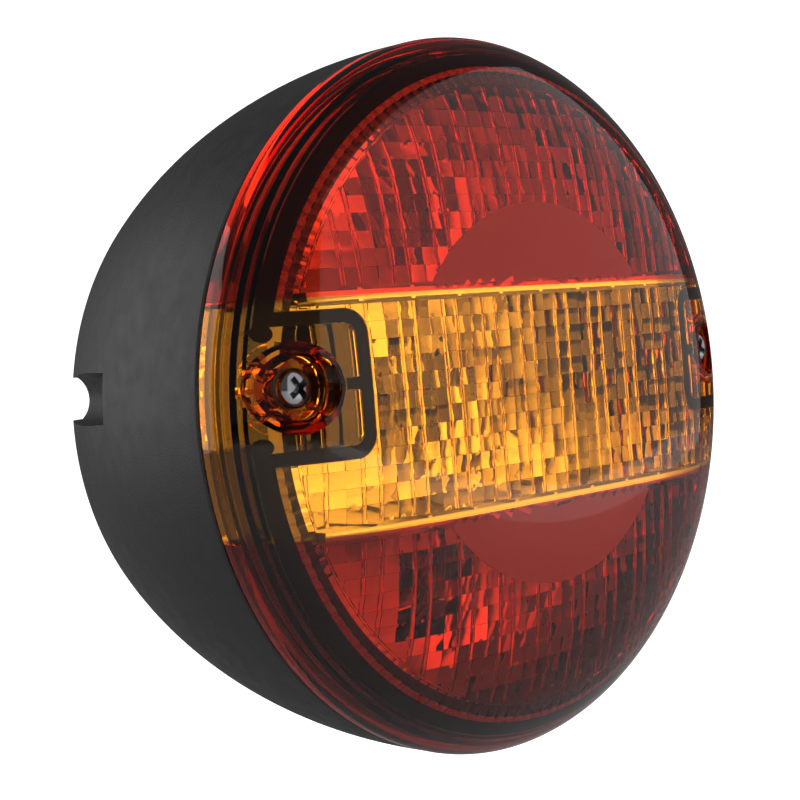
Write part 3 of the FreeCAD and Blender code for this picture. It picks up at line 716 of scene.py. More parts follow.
def bead_ring():
    """Ring of ticks and beads between the optics and the gasket."""
    radii = [58.6, 58.9, 59.5, 60.1, 60.5, 60.7, 60.9, 61.2, 61.5, 61.7, 61.85, 61.95]
    angles = [i * 2 * pi / (BEADS * 10) for i in range(BEADS * 10)]
    loops = []
    for r in radii:
        depth = dome_depth(r, LENS_WALL)
        loops.append([(r * cos(a), depth + bead_height(r, a), r * sin(a)) for a in angles])
    for r in reversed(radii):
        depth = dome_depth(r, LENS_WALL) - 1.0
        loops.append([(r * cos(a), depth, r * sin(a)) for a in angles])
    beads = skin("beads", loops, closed=True)
    for side in (-1, 1):
        cut(beads, prism("jog", jog_outline(-0.5, side), *THROUGH))
    return beads


def lens_well(side):
    """One screw well: a cup in an outer wall, joined to it by six webs, and webs to the rim."""
    x = side * SCREW_X
    cup = WELL_BORE + 0.9
    wall = WELL_RADIUS - 0.8
    floor = WELL_FLOOR + 0.2
    well = lathe("well", [(0, -30), (WELL_RADIUS, -30), (WELL_RADIUS, WELL_BACK), (wall, WELL_BACK),
                          (wall, floor - 1.5), (cup, floor - 1.5), (cup, WELL_BACK), (0, WELL_BACK)],
                 96, x, SCREW_Z)
    middle = (cup + wall) / 2
    for turn in (0, 40, 140, 180, 220, 320):
        way = radians(turn)
        joined(well, taper("web", 0.45, 1.2, -25, WELL_BACK - 0.4, 1.0, x + middle * cos(way),
                           SCREW_Z + middle * sin(way), radians(turn + 90)))
    reach = beside(side, SCREW_X + WELL_RADIUS - 0.3, LENS_RADIUS - 1.0)
    joined(well, brick("web", *reach, -25, -5.5, *about(SCREW_Z, 0.9)))
    return kept_in(well, dome_solid("limit", 0.7, 3.0))


def make_lens():
    """The whole lens as one closed solid, before it is parted into its three colours."""
    edge = [(LENS_RADIUS, -SEAM_GAP), (LENS_RADIUS - LENS_WALL, -SEAM_GAP)]
    shell = lathe("lens", dome_points(0.0, 72) + edge + dome_points(LENS_WALL, 48)[::-1], LENS_STEPS)
    ribs = []
    for inner, outer, end in RIM_RIBS:
        rib = ring("rib", inner, outer, -12, end, LENS_STEPS)
        ribs.append(kept_in(rib, dome_solid("limit", 0.8, 3.0)))
    for side in (-1, 1):
        joined(shell, lens_well(side))
    joined(shell, *ribs, trimmed_optics(), bead_ring())
    for side in (-1, 1):
        x = side * SCREW_X
        bore = [(0, -30), (WELL_BORE + 1.4, -30), (WELL_BORE + 0.3, -13.2), (WELL_BORE, -12.6),
                (WELL_BORE, WELL_FLOOR), (0, WELL_FLOOR)]
        cut(shell, lathe("bore", bore, 96, x, SCREW_Z), tube("hole", WELL_HOLE, -30, 5, x, SCREW_Z))
    return shell


def face_kind(centre, normal):
    """0 for a polished lens face, 1 for one in a window, 2 for a bead or a rim rib."""
    x = centre.x / MM
    z = centre.z / MM
    r = math.hypot(x, z)
    if normal.y < 0.3:
        return 0
    if r < WINDOW_RADIUS and abs(z) > BAND_HALF + PLAIN_STRIP - 0.6:
        return 1
    in_rib = RIM_RIB_SEEN[0] < r < RIM_RIB_SEEN[1]
    return 2 if BEAD_START + 0.1 < r < BEAD_END or in_rib else 0


def make_lens_segments():
    whole = make_lens()
    reach = LENS_RADIUS + 5
    joint = 0.01
    bands = {
        "lens_red_upper": (BAND_HALF + joint, reach),
        "lens_amber_band": (-BAND_HALF + joint, BAND_HALF - joint),
        "lens_red_lower": (-reach, -BAND_HALF - joint),
    }
    for node, (low, high) in bands.items():
        piece = placed(whole.copy())
        piece.data = whole.data.copy()
        kept_in(piece, brick("band", -reach, reach, -40, 20, low, high))
        piece.data.materials.clear()
        piece.data.materials.append(FINISH[SLOT_OF[node]])
        for grained_face in HAZY[SLOT_OF[node]]:
            piece.data.materials.append(grained_face)
        for face in piece.data.polygons:
            face.material_index = face_kind(face.center, face.normal)
        finish_piece(piece, node, 24)
    bpy.data.objects.remove(whole)


# ---------- housing and gasket

def bowl_profile(inset):
    """Outline of the housing's outer form, inset by a wall, from the seam to the axis."""
    edge_radius = BOWL_EDGE - BOWL_EDGE_SHRINK * inset
    front = Vector((LENS_RADIUS - inset, SEAM_GAP))
    middle = Vector((BOWL_MIDDLE[0] - inset, BOWL_MIDDLE[1]))
    rear = Vector((BOWL_BACK_RADIUS - inset, HOUSING_DEPTH - inset))
    first, second = middle - front, rear - front
    twice = 2 * (first.x * second.y - first.y * second.x)
    centre = front + Vector((second.y * first.dot(first) - first.y * second.dot(second),
                             first.x * second.dot(second) - second.x * first.dot(first))) / twice
    radius = (front - centre).length
    edge_d = rear.y - edge_radius
    edge_r = centre.x + math.sqrt((radius - edge_radius) ** 2 - (edge_d - centre.y) ** 2)
    start = math.atan2(front.y - centre.y, front.x - centre.x)
    end = math.atan2(edge_d - centre.y, edge_r - centre.x)
    side = arc(centre.x, centre.y, radius, math.degrees(start), math.degrees(end), 40)
    return side + arc(edge_r, edge_d, edge_radius, math.degrees(end), 90, 12)[1:] + [(0, rear.y)]


def groove_tools(grow):
    """Scallop and channel of the cable groove, grown by a wall, as separate solids."""
    lean = Vector((GROOVE_LEAN, HOUSING_DEPTH - GROOVE_FRONT)).normalized()
    side = Vector((lean.y, -lean.x))
    loops = []
    for along in (0.0, 60.0):
        loop = []
        for i in range(48):
            angle = 2 * pi * i / 48
            r = GROOVE_RADIUS + grow
            x = GROOVE_FRONT_X + lean.x * along + side.x * r * cos(angle)
            d = GROOVE_FRONT - 10 + lean.y * along + side.y * r * cos(angle)
            loop.append((x, d, SCREW_Z + r * sin(angle)))
        loops.append(loop)
    scallop = kept_in(skin("scallop", loops), brick("limit", -80, -30, GROOVE_FRONT - grow, 65, -20, 30))
    half = GROOVE_RADIUS - 0.8 + grow
    floor = HOUSING_DEPTH - GROOVE_DEPTH - grow
    channel = brick("channel", GROOVE_FRONT_X, GROOVE_END_X + grow, floor, 65, *about(SCREW_Z, half))
    return joined(scallop, channel)


def make_housing():
    """Bowl with its gasket wall and ledge, screw posts, bosses, bolt holes and cable groove."""
    outer = bowl_profile(0.0)
    outer[0:1] = [(LENS_RADIUS - 0.35, SEAM_GAP), (LENS_RADIUS - 0.05, SEAM_GAP + 0.3)]
    body = lathe("housing", outer + bowl_profile(HOUSING_WALL)[::-1], 320)
    half = GASKET_WIDTH / 2
    rim = LENS_RADIUS - 1.0
    inner_ledge = GASKET_RADIUS - half
    joined(body, ring("ledge", inner_ledge, rim, LEDGE_FRONT, LEDGE_BACK))
    wall = kept_in(gasket_path(-20, LEDGE_BACK), dome_solid("limit", LENS_WALL + GASKET_THICK, 5))
    joined(body, wall)
    root = inner_ledge + 0.3
    line = [(COLLAR_INNER, -20), (COLLAR_OUTER, -20), (COLLAR_OUTER, -4), (root, -4), (root, 2.0)]
    line.append((COLLAR_INNER, 2.0))
    collar = lathe("collar", line, RING_STEPS)
    for side in (-1, 1):
        cut(collar, prism("jog", jog_outline(0.5, side), *THROUGH))
    joined(body, kept_in(collar, dome_solid("limit", LENS_WALL + COLLAR_SPARE, 5)))
    for side in (-1, 1):
        plate = prism("plate", jog_outline(half, side), LEDGE_FRONT, LEDGE_BACK)
        joined(body, kept_in(plate, tube("disc", rim, *THROUGH, steps=RING_STEPS)))
        x = side * SCREW_X
        joined(body, tube("post", POST_RADIUS, POST_FRONT, POST_BACK, x, SCREW_Z))
        reach = beside(side, SCREW_X, LENS_RADIUS - 3.5)
        joined(body, brick("web", *reach, LEDGE_BACK, 20, *about(SCREW_Z, 1)))
        for z in (-PAN_SCREW_Z, PAN_SCREW_Z):
            boss = (PAN_POST_RADIUS, PAN_FLOOR + PAN_WALL, BOSS_BACK, side * PAN_SCREW_X, z, 40)
            joined(body, tube("boss", *boss))
    for z in SPACER_HEIGHTS:
        joined(body, tube("boss", SPACER_RADIUS, PLATE_BACK, BOSS_BACK, 0, z, 48))
    limit = lathe("limit", [(0, SEAM_GAP)] + bowl_profile(HOUSING_WALL / 2))
    joined(body, kept_in(groove_tools(HOUSING_WALL), limit))
    cut(body, eased(groove_tools(0.0), 0.6))
    for side in (-1, 1):
        cut(body, tube("bore", SCREW_RADIUS + 0.05, -30, SCREW_END + 2, side * SCREW_X, SCREW_Z, 36))
        bolt = side * BOLT_X
        cut(body, tube("bore", BOLT_BORE, 40, 62, bolt, SCREW_Z, 48))
        cut(body, lathe("step", [(6.5, 59.6), (7.0, 59.6), (7.3, 61), (6.2, 61)], 64, bolt, SCREW_Z))
        for z in (-PAN_SCREW_Z, PAN_SCREW_Z):
            cut(body, tube("bore", SMALL_SCREW_BORE, PAN_FLOOR, PAN_FLOOR + 12, side * PAN_SCREW_X, z, 24))
    for z in SPACER_HEIGHTS:
        cut(body, tube("bore", SMALL_SCREW_BORE, PLATE_BACK - 1, PLATE_BACK + 10, 0, z, 24))
    cut(body, tube("bore", GROMMET_BORE, 45, 62, GROMMET_X, SCREW_Z, 48))
    return finish_piece(body, "housing", 28)


def make_gasket():
    """Rubber band that follows the inside of the lens."""
    band = dome_solid("band", LENS_WALL - GASKET_PRESS, 0.0)
    cut(band, dome_solid("under", LENS_WALL + GASKET_THICK, 1.0))
    gasket = kept_in(gasket_path(-20, -LENS_SKIRT), band)
    return finish_piece(gasket, "gasket", 40)


# ---------- screws, bolts and seals

def pan_head(radius, height, under):
    """Outline of a rounded screw head from its top to the face under it."""
    angles = [radians(90 * i / 14) for i in range(15)]
    crown = [(radius * sin(a) ** 0.62, under - height * cos(a) ** 0.5) for a in angles[:-1]]
    return crown + [(radius, under - 0.15 * height), (radius - 0.12, under)]


def cross_screw(x, z, under, end, radius, head_radius, head_height, pitch, turn):
    """Cross-recessed screw: a rounded head on a threaded shank."""
    top = under - head_height
    head = lathe("head", [(0, top)] + pan_head(head_radius, head_height, under)[1:] + [(0, under)], 72, x, z)
    for quarter in (0, pi / 2):
        cut(head, taper("arm", head_radius * 0.72, head_radius * 0.19, top - 0.6, top + head_height * 0.9,
                        0.55, x, z, turn + quarter))
    shank = tube("shank", radius * 0.97, under - 0.3, under + 3, x, z, 36)
    point = thread("thread", radius, radius * 0.16, pitch, under + 2.5, end, x, z)
    return joined(head, shank, point)


def make_screws():
    for side, word, turn in ((-1, "left", 0.62), (1, "right", 1.1)):
        x = side * SCREW_X
        under = WELL_FLOOR - SEAL_THICK
        screw = cross_screw(x, SCREW_Z, under, SCREW_END, SCREW_RADIUS, SCREW_HEAD_RADIUS,
                            SCREW_HEAD_HEIGHT, SCREW_PITCH, turn)
        finish_piece(screw, "lens_screw_" + word, 32)
        outer = SCREW_HEAD_RADIUS + 0.1
        inner = SCREW_RADIUS + 0.05
        front = under + SEAL_EASE
        seal = near(inner, front, (0, 0.15), (0.2, 0))
        seal += near(outer, front, (-0.35, 0), (0, 0.3))
        seal += near(outer, WELL_FLOOR, (0, -0.2), (-0.25, 0)) + [(inner, WELL_FLOOR)]
        turned("screw_seal_" + word, seal, x, SCREW_Z)


def gathered(pieces):
    """One object out of several separate solids."""
    first = pieces[0]
    with bpy.context.temp_override(active_object=first, selected_editable_objects=pieces):
        bpy.ops.object.join()
    return first


def make_small_screws():
    places = [(x, z) for x in (-PAN_SCREW_X, PAN_SCREW_X) for z in (-PAN_SCREW_Z, PAN_SCREW_Z)]
    screws = [cross_screw(x, z, PAN_FLOOR, PAN_FLOOR + 10, *SMALL_SCREW, 0.3 * x + z) for x, z in places]
    finish_piece(gathered(screws), "reflector_screws", 32)
    seat = PLATE_FRONT - STRIP_THICK
    screws = [cross_screw(0, z, seat, seat + 11, *SMALL_SCREW, z) for z in SPACER_HEIGHTS]
    finish_piece(gathered(screws), "carrier_screws", 32)


def make_bolts():
    bolts = []
    seals = []
    seat = HOUSING_DEPTH - HOUSING_WALL - BOLT_SEAL_THICK
    front = seat - BOLT_HEAD_HEIGHT
    corner = BOLT_HEAD_CORNER
    seal = near(BOLT_BORE, seat, (0, 0.2), (0.2, 0))
    seal += near(BOLT_SEAL_RADIUS, seat, (-0.4, 0), (0, 0.4))
    seal += near(BOLT_SEAL_RADIUS, seat + BOLT_SEAL_THICK, (0, -0.2), (-0.2, 0))
    seal.append((BOLT_BORE, seat + BOLT_SEAL_THICK))
    crown = [(0, front), (corner - 0.9, front), (corner + 0.1, front + 0.6)]
    crown += near(corner, seat, (0.1, -0.3), (-0.3, 0)) + [(0, seat)]
    for x in (-BOLT_X, BOLT_X):
        angles = [pi * i / 3 for i in range(6)]
        hexagon = [(x + corner * cos(a), SCREW_Z + corner * sin(a)) for a in angles]
        head = kept_in(prism("head", hexagon, front, seat), lathe("crown", crown, 72, x, SCREW_Z))
        neck = tube("neck", BOLT_RADIUS - 0.1, seat - 0.5, HOUSING_DEPTH + 0.6, x, SCREW_Z, 48)
        stud = thread("stud", BOLT_RADIUS, *BOLT_THREAD, HOUSING_DEPTH + 0.2, HOUSING_DEPTH + BOLT_REACH,
                      x, SCREW_Z, 40)
        bolts.append(joined(head, neck, stud))
        seals.append(lathe("seal", seal, 72, x, SCREW_Z))
    finish_piece(gathered(bolts), "mounting_bolts", 32)
    finish_piece(gathered(seals), "bolt_seals", 40)


def make_grommet():
    outside = HOUSING_DEPTH - GROOVE_DEPTH
    inside = outside - HOUSING_WALL
    bore = GROMMET_BORE
    line = near(bore, inside, (-1.4, -1.3), (-1.2, -1.5), (1.1, -1.5), (1.5, -1.1), (1.5, -0.1))
    line.append((bore, inside))
    line += near(bore, outside, (0, 0.2), (-0.2, 1.2), (-0.6, 1.5), (-1.2, 1.5), (-1.4, 1.2))
    turned("cable_grommet", line, GROMMET_X, SCREW_Z, degrees=35)


# ---------- reflector and dividers

def dish(name, offset, front, z, steps):
    """Solid that fills one round dish, offset rearwards, open at the front."""
    floor = PAN_FLOOR + offset
    angles = [radians(90 * i / 12) for i in range(1, 12)]
    curve = [(DISH_RADIUS * cos(a), floor + DISH_DEPTH * sin(a) ** 0.9) for a in angles]
    profile = [(0, front), (DISH_RADIUS, front), (DISH_RADIUS, floor)] + curve + [(0, floor + DISH_DEPTH)]
    return lathe(name, profile, steps, 0, z)


def make_reflector():
    """Bright pan with three faceted dishes, a rolled rim and openings for posts and screws."""
    outside = PAN_FRONT_RADIUS + PAN_WALL
    back = PAN_FLOOR + PAN_WALL
    line = [(0, back), (PAN_FLOOR_RADIUS + PAN_WALL, back)]
    line += near(outside, PAN_FRONT, (0, 0), (-0.4, -0.1))
    line += near(PAN_FRONT_RADIUS, PAN_FRONT, (0.4, -0.1), (0, 0.3))
    line += near(PAN_FLOOR_RADIUS, PAN_FLOOR, (0.6, -1.0), (-0.8, 0)) + [(0, PAN_FLOOR)]
    pan = lathe("reflector", line, 240)
    for z in CHAMBER_HEIGHTS:
        joined(pan, dish("dish", PAN_WALL, PAN_FLOOR + 0.3, z, 72))
    for z in CHAMBER_HEIGHTS:
        cut(pan, dish("dish", 0.0, PAN_FLOOR - 1, z, 26), tube("hole", BULB_HOLE, 5, 25, 0, z))
    clear = POST_RADIUS + 1.2
    for side in (-1, 1):
        cut(pan, tube("post", clear, 0, 30, side * SCREW_X, SCREW_Z))
        cut(pan, brick("slot", *beside(side, SCREW_X - 0.1, 70), 0, 30, *about(SCREW_Z, clear)))
        for z in (-PAN_SCREW_Z, PAN_SCREW_Z):
            cut(pan, tube("hole", SMALL_SCREW_HOLE, 0, 30, side * PAN_SCREW_X, z, 24))
    return finish_piece(pan, "reflector", 26)


def make_dividers():
    for word, z in (("upper", BAND_HALF), ("lower", -BAND_HALF)):
        low, high = about(z, DIVIDER_THICK / 2)
        half = DIVIDER_HALF
        outline = [(4.5 - half, DIVIDER_BACK), (half - 4.5, DIVIDER_BACK), (half, PAN_FRONT - 0.5)]
        outline += [(half, -20), (-half, -20), (-half, PAN_FRONT - 0.5)]
        wall = skin("divider", [[(x, d, level) for x, d in outline] for level in (low, high)])
        for i in range(-4, 5):
            joined(wall, brick("rib", *about(11 * i, 0.45), -18, 11, low - 0.35, high + 0.35))
        kept_in(wall, dome_solid("limit", LENS_WALL + 0.5, PAN_FLOOR))
        finish_piece(wall, "divider_" + word, 30)


# ---------- bulbs and bulb holders

def make_bulb(name, z, radius, length):
    """Glass, metal cap with pins, and stem with its coil."""
    tip = CAP_FRONT - length
    centre = tip + radius
    neck = CAP_RADIUS - 0.85
    outer = arc(0, centre, radius, -90, 44, 20)
    wide, deep = outer[-1]
    side = [(neck + 0.3 + (wide - neck - 0.3) * (1 - t) ** 2, deep + (CAP_FRONT - 1.5 - deep) * t)
            for t in (0.25, 0.5, 0.75, 1.0)]
    line = outer + side + near(neck, CAP_FRONT, (0, 0.2), (0, 2.7))
    inner = [(max(r - GLASS, 0.0), d + (0.3 * (centre - d) / radius if d < centre else 0.0)) for r, d in line]
    inner[0] = (0.0, tip + GLASS)
    turned("bulb_glass_" + name, line + inner[::-1], 0, z)

    cap_line = near(CAP_RADIUS, CAP_FRONT, (-0.8, 0.3), (-0.5, 0), (-0.1, 0.2), (-0.1, 1.2),
                           (-0.35, 1.5), (-0.35, 2.0), (0, 2.4))
    cap_line += near(CAP_RADIUS, CAP_BACK, (0, -1.6), (-0.5, -0.6), (-1.4, 0))
    cap_line += near(0, CAP_BACK, (4.6, 0), (4.3, -0.4), (2.6, -0.4), (2.2, 0.1), (1.6, 0.7))
    cap_line += [(0, CONTACT_PLANE), (0, CAP_FRONT + 2.9), (CAP_RADIUS - 0.8, CAP_FRONT + 2.9)]
    cap = lathe("cap", cap_line, 72, 0, z)
    for side in (-1, 1):
        pin = lathe("pin", [(0, 0), (1.0, 0), (1.0, 2.55), (0.75, 2.85), (0, 2.85)], 24)
        pin.data.transform(Matrix.Translation(Vector((side * 5.9 * MM, (PIN_DEPTH + SEAM_Y) * MM, z * MM)))
                           @ Matrix.Rotation(radians(-90 * side), 4, "Z")
                           @ Matrix.Translation(Vector((0, -SEAM_Y * MM, 0))))
        joined(cap, pin)
    finish_piece(cap, "bulb_cap_" + name, 32)

    coil_depth = centre + 1.0
    stem = lathe("stem", near(0, CAP_FRONT, (0, -5), (1.5, -4.8), (1.9, -4), (1.8, -2), (2.6, 0),
                                     (2.6, 1.5), (0, 1.5)), 32, 0, z)
    parts = [stem]
    for side in (-1, 1):
        foot = Vector((side * 1.1, CAP_FRONT - 4.6, z))
        head = Vector((side * 2.9, coil_depth, z))
        angles = [2 * pi * i / 10 for i in range(10)]
        loops = []
        for t in [k / 8 for k in range(9)]:
            bow = side * 0.7 * sin(pi * t)
            point = foot + (head - foot) * t
            loops.append([(point.x + bow + POST_WIRE * cos(a), point.y, z + POST_WIRE * sin(a))
                          for a in angles])
        parts.append(skin("wire", loops))
    winding = coil_loops(0.5, 0.12, 6.0, 16, 6)
    parts.append(skin("coil", [[(a - 3.0, coil_depth + b, z + c) for a, b, c in loop] for loop in winding]))
    finish_piece(gathered(parts), "bulb_filament_" + name, 50)


def make_holder(name, z):
    """Holder shell with its bayonet slots, insulator, plunger, contact and spring."""
    line = near(SHELL_BORE, SHELL_FRONT, (0, 0.5), (0.5, 0))
    line += near(SHELL_OUTER, SHELL_FRONT, (0.7, 0), (0.7, 0.8), (0, 1.1))
    line += near(SHELL_OUTER, SHELL_BACK, (0, -0.3), (-0.3, 0)) + [(SHELL_BORE, SHELL_BACK)]
    shell = lathe("shell", line, 96, 0, z)
    slot_back = PIN_DEPTH + PUSH_TRAVEL + PIN_CLEAR
    sweep = TWIST_ANGLE + 2 * SLOT_WIDEN
    for start in (0.0, 180.0):
        angles = [radians(start - SLOT_WIDEN + sweep * i / 10) for i in range(11)]
        fan = [(0.0, z)] + [(12 * cos(a), z + 12 * sin(a)) for a in angles]
        cut(shell, prism("window", fan, PIN_DEPTH - PIN_CLEAR, slot_back))
        turn = radians(start + TWIST_ANGLE)
        cut(shell, taper("way", 6.0, PIN_CLEAR, SHELL_FRONT - 1, slot_back, 1.0,
                         6.0 * cos(turn), z + 6.0 * sin(turn), turn))
    finish_piece(shell, "holder_shell_" + name, 32)

    front = SHELL_BACK - INSULATOR_THICK
    line = near(0, front, (1.6, 0), (5.0, 0), (5.2, 0.25), (6.2, 0.25), (6.4, 0), (SHELL_BORE, 0))
    turned("holder_insulator_" + name, line + [(SHELL_BORE, SHELL_BACK), (1.6, SHELL_BACK)], 0, z)
    back = CONTACT_PLANE + 2.0
    line = near(0, CONTACT_PLANE, (1.6, 0), (7.3, 0), (7.6, 0.3))
    line += near(0, back, (7.6, -0.3), (7.3, 0), (3.4, 0), (3.2, 0.2), (3.1, 1.0), (1.6, 1.0))
    turned("plunger_" + name, line, 0, z)
    line = near(0, CONTACT_PLANE, (0, 0.05), (1.2, 0.15), (1.55, 0.4))
    line += near(0, back, (1.55, 1.1), (1.3, 1.4), (0, 1.4))
    turned("plunger_contact_" + name, line, 0, z, 40)

    wire = 0.4
    start = back + wire + 0.1
    end = front - wire - 0.1
    winding = coil_loops(5.6, wire, end - start, 3)
    spring = skin("spring", [[(b, start + a, z + c) for a, b, c in loop] for loop in winding])
    finish_piece(spring, "plunger_spring_" + name, 50)
    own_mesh(spring)


# ---------- carrier, strips and terminals

def way_height(way):
    """Height of one terminal, counted from the top of the block."""
    return BLOCK_CENTRE_Z + BLOCK_PITCH * ((BLOCK_WAYS - 1) / 2 - way)


def rounded_outline(half_x, half_z, corner):
    outline = []
    for start, side_x, side_z in ((0, 1, 1), (90, -1, 1), (180, -1, -1), (270, 1, -1)):
        for i in range(9):
            angle = radians(start + 90 * i / 8)
            outline.append((side_x * (half_x - corner) + corner * cos(angle),
                            side_z * (half_z - corner) + corner * sin(angle)))
    return outline


def make_carrier():
    """Base plate with raised rings round its holders, and the brass strips."""
    top = CHAMBERS[0][1] + 10.0
    plate = prism("plate", rounded_outline(14, top, 6), PLATE_FRONT, PLATE_BACK)
    eased(plate, 0.4)
    for z in CHAMBER_HEIGHTS:
        joined(plate, tube("collar", SHELL_OUTER + 1.6, PLATE_FRONT + 0.5, PLATE_BACK + 1.8, 0, z))
        cut(plate, tube("hole", SHELL_OUTER, 20, 40, 0, z))
    for z in SPACER_HEIGHTS:
        cut(plate, tube("hole", SMALL_SCREW_HOLE, 20, 40, 0, z, 32))
    for x in (-12, 12):
        for z in (-30, -8, 8, 30):
            joined(plate, brick("rib", *about(x, 0.6), PLATE_BACK - 0.5, PLATE_BACK + 1.4, *about(z, 7)))
    finish_piece(plate, "holder_base_plate", 32)

    front = PLATE_FRONT - STRIP_THICK
    z = way_height(1)
    corner = BLOCK_LEFT - 4
    strap_back = BLOCK_FRONT + 6
    level = about(z, STRIP_HALF)
    bar = prism("bar", rounded_outline(11, top - 1, 2), front, PLATE_FRONT)
    inner = corner - STRIP_THICK
    joined(bar, brick("strap", 0, corner, front, PLATE_FRONT, *level),
           brick("strap", inner, corner, front, strap_back, *level),
           brick("strap", inner, BLOCK_LEFT, strap_back - STRIP_THICK, strap_back, *level))
    for height in CHAMBER_HEIGHTS:
        cut(bar, tube("hole", SHELL_OUTER, 20, 35, 0, height))
    for height in SPACER_HEIGHTS:
        cut(bar, tube("hole", SMALL_SCREW_HOLE, 20, 35, 0, height, 32))
        for side in (-1, 1):
            slot = [(side * 7.5 + a, height + b) for a, b in rounded_outline(1.2, 4.0, 1.1)]
            cut(bar, prism("slot", slot, 20, 35))
    finish_piece(eased(bar, STRIP_EDGE), "earth_busbar", 32)

    front = SHELL_BACK + 0.1
    back = front + STRIP_THICK
    for (name, z, _, _), way in zip(CHAMBERS, FEED_WAYS):
        target = way_height(way)
        reach = (min(z, target) - STRIP_HALF, max(z, target) + STRIP_HALF)
        strip = tube("strip", 5.0, front, back, 0, z, 64)
        joined(strip, brick("arm", 0, ARM_END, front, back, *about(z, STRIP_HALF)))
        joined(strip, brick("arm", ARM_START, ARM_END, front + 0.01, back - 0.01, *reach))
        joined(strip, brick("arm", 14, BLOCK_LEFT, front, back, *about(target, STRIP_HALF)))
        cut(strip, tube("dimple", 1.4, front - 1, front + 0.3, 0, z, 32))
        finish_piece(eased(strip, STRIP_EDGE), "feed_strip_" + name, 32)


def make_terminals():
    half = BLOCK_WAYS / 2 * BLOCK_PITCH + 0.5
    block = brick("block", BLOCK_LEFT, BLOCK_RIGHT, BLOCK_FRONT, BLOCK_BACK, *about(BLOCK_CENTRE_Z, half))
    eased(block, 0.5)
    bowl = [(r, min(d, BLOCK_BACK)) for r, d in bowl_profile(HOUSING_WALL + 0.3)]
    kept_in(block, lathe("limit", [(0, SEAM_GAP)] + bowl, 120))
    middle = (BLOCK_LEFT + BLOCK_RIGHT) / 2
    screw_line = near(0, BLOCK_FRONT, (0, -1.5), (1.9, -1.5), (2.2, -1.2), (2.2, 0), (1.7, 0.2),
                             (1.7, 1), (0, 1))
    screws = []
    for way in range(BLOCK_WAYS):
        z = way_height(way)
        cut(block, tube("hole", 2.3, BLOCK_FRONT - 1, BLOCK_FRONT + 5, middle, z, 40))
        cut(block, brick("entry", BLOCK_RIGHT - 4, BLOCK_RIGHT + 1, BLOCK_FRONT + 1.4, BLOCK_FRONT + 4.6,
                         *about(z, 1.6)))
        if way:
            cut(block, brick("gap", BLOCK_LEFT + 1, BLOCK_RIGHT - 1, BLOCK_FRONT - 1, BLOCK_FRONT + 2.2,
                             *about(z + BLOCK_PITCH / 2, 0.5)))
        screw = lathe("screw", screw_line, 40, middle, z)
        cut(screw, taper("slot", 3, 0.4, BLOCK_FRONT - 2, BLOCK_FRONT - 0.7, 1.0, middle, z, 0.35 * way))
        screws.append(screw)
    finish_piece(block, "terminal_block", 32)
    finish_piece(gathered(screws), "terminal_screws", 32)


# ---------- scene

ROOM_LIGHT = 0.08
FLOOR_LIGHT = 0.0
FLOOR_SHADE = 0.3
FLOOR_HALF = 3000
FLOOR_LEVEL = -130


def make_camera():
    """Camera at the three-quarter view, a little above the lamp's axis and slightly rolled."""
    target = Vector((-0.02435, -0.060, 0.00247))
    azimuth = radians(-43.82)
    elevation = radians(1.88)
    distance = 0.29683
    roll = radians(-4.43)
    level = cos(elevation)
    back = Vector((sin(azimuth) * level, -cos(azimuth) * level, sin(elevation)))
    forward = -back
    right = forward.cross(Vector((0, 0, 1))).normalized()
    up = right.cross(forward)
    rolled_right = right * cos(roll) + up * sin(roll)
    rolled_up = up * cos(roll) - right * sin(roll)
    data = bpy.data.cameras.new("camera")
    data.lens = 71.73
    data.sensor_width = 36
    data.shift_x = 0.0104
    data.shift_y = -0.0104
    data.clip_start = 0.01
    camera = bpy.data.objects.new("camera", data)
    camera.matrix_world = Matrix((rolled_right, rolled_up, back)).transposed().to_4x4()
    camera.location = target + back * distance
    bpy.context.scene.camera = placed(camera)


def soft_light(name, direction, distance, size, power):
    """Rectangular soft light that faces the lamp from a direction."""
    data = bpy.data.lights.new(name, "AREA")
    data.shape = "RECTANGLE"
    data.size, data.size_y = size
    data.energy = power
    light = bpy.data.objects.new(name, data)
    way = Vector(direction).normalized()
    light.location = Vector((0, -0.05, 0)) + way * distance
    light.rotation_euler = way.to_track_quat("Z", "Y").to_euler()
    return placed(light)


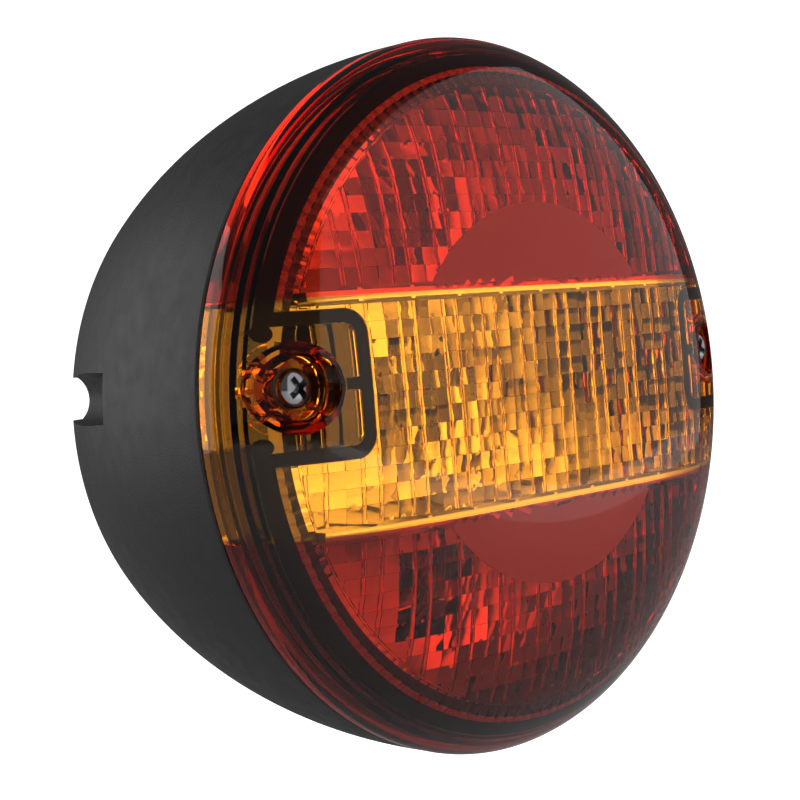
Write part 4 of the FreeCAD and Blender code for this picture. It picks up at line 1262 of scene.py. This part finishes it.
def seen_or_lit(tree, seen, lit):
    """One strength for what the camera sees directly and another for the light that it gives."""
    direct = add(tree, "LightPath", {}).outputs["Is Camera Ray"]
    return add(tree, "MapRange", {"To Min": lit, "To Max": seen, "Value": direct}).outputs["Result"]


def make_studio():
    world = bpy.data.worlds.new("studio")
    world.use_nodes = True
    sky = world.node_tree
    put(sky, sky.nodes["Background"], {"Color": (1, 1, 1, 1), "Strength": seen_or_lit(sky, 1.0, ROOM_LIGHT)})
    bpy.context.scene.world = world
    corners = [(x * FLOOR_HALF, y * FLOOR_HALF, FLOOR_LEVEL) for x, y in ((-1, -1), (1, -1), (1, 1), (-1, 1))]
    floor = make_object("floor", corners, [[0, 1, 2, 3]])
    paper, tree, shader = material("floor_paper")
    put(tree, shader, {"Base Color": (FLOOR_SHADE, FLOOR_SHADE, FLOOR_SHADE, 1), "Roughness": 0.9,
                       "Specular IOR Level": 0.0, "Emission Color": (1, 1, 1, 1),
                       "Emission Strength": seen_or_lit(tree, 0.95, FLOOR_LIGHT)})
    bump(tree, shader, noise(tree, 300, 4), 0.0002)
    floor.data.materials.append(paper)
    soft_light("face_softbox", (0.63, -0.74, 0.22), 0.7, (1.25, 1.15), 1.7)
    soft_light("back_left_softbox", (-0.66, 0.72, 0.15), 0.9, (1.2, 1.0), 3.2)
    soft_light("key_light", (0.5, -0.8, 0.2), 1.0, (1.3, 1.1), 13).visible_glossy = False
    soft_light("top_light", (-0.15, -0.6, 0.9), 0.9, (0.9, 0.7), 5).visible_glossy = False
    soft_light("camera_side_light", (-0.75, -0.7, 0.1), 1.0, (0.8, 0.8), 3.5).visible_glossy = False
    view = bpy.context.scene.view_settings
    view.view_transform = "Standard"
    view.look = "None"
    view.exposure = 0.45
    cycles = bpy.context.scene.cycles
    cycles.max_bounces = 16
    cycles.transmission_bounces = 14
    cycles.glossy_bounces = 8
    cycles.sample_clamp_indirect = 6.0


make_camera()
make_studio()
make_lens_segments()
make_housing()
make_gasket()
make_screws()
make_small_screws()
make_bolts()
make_grommet()
make_reflector()
make_dividers()
for chamber in CHAMBERS:
    make_bulb(*chamber)
    make_holder(*chamber[:2])
make_carrier()
make_terminals()
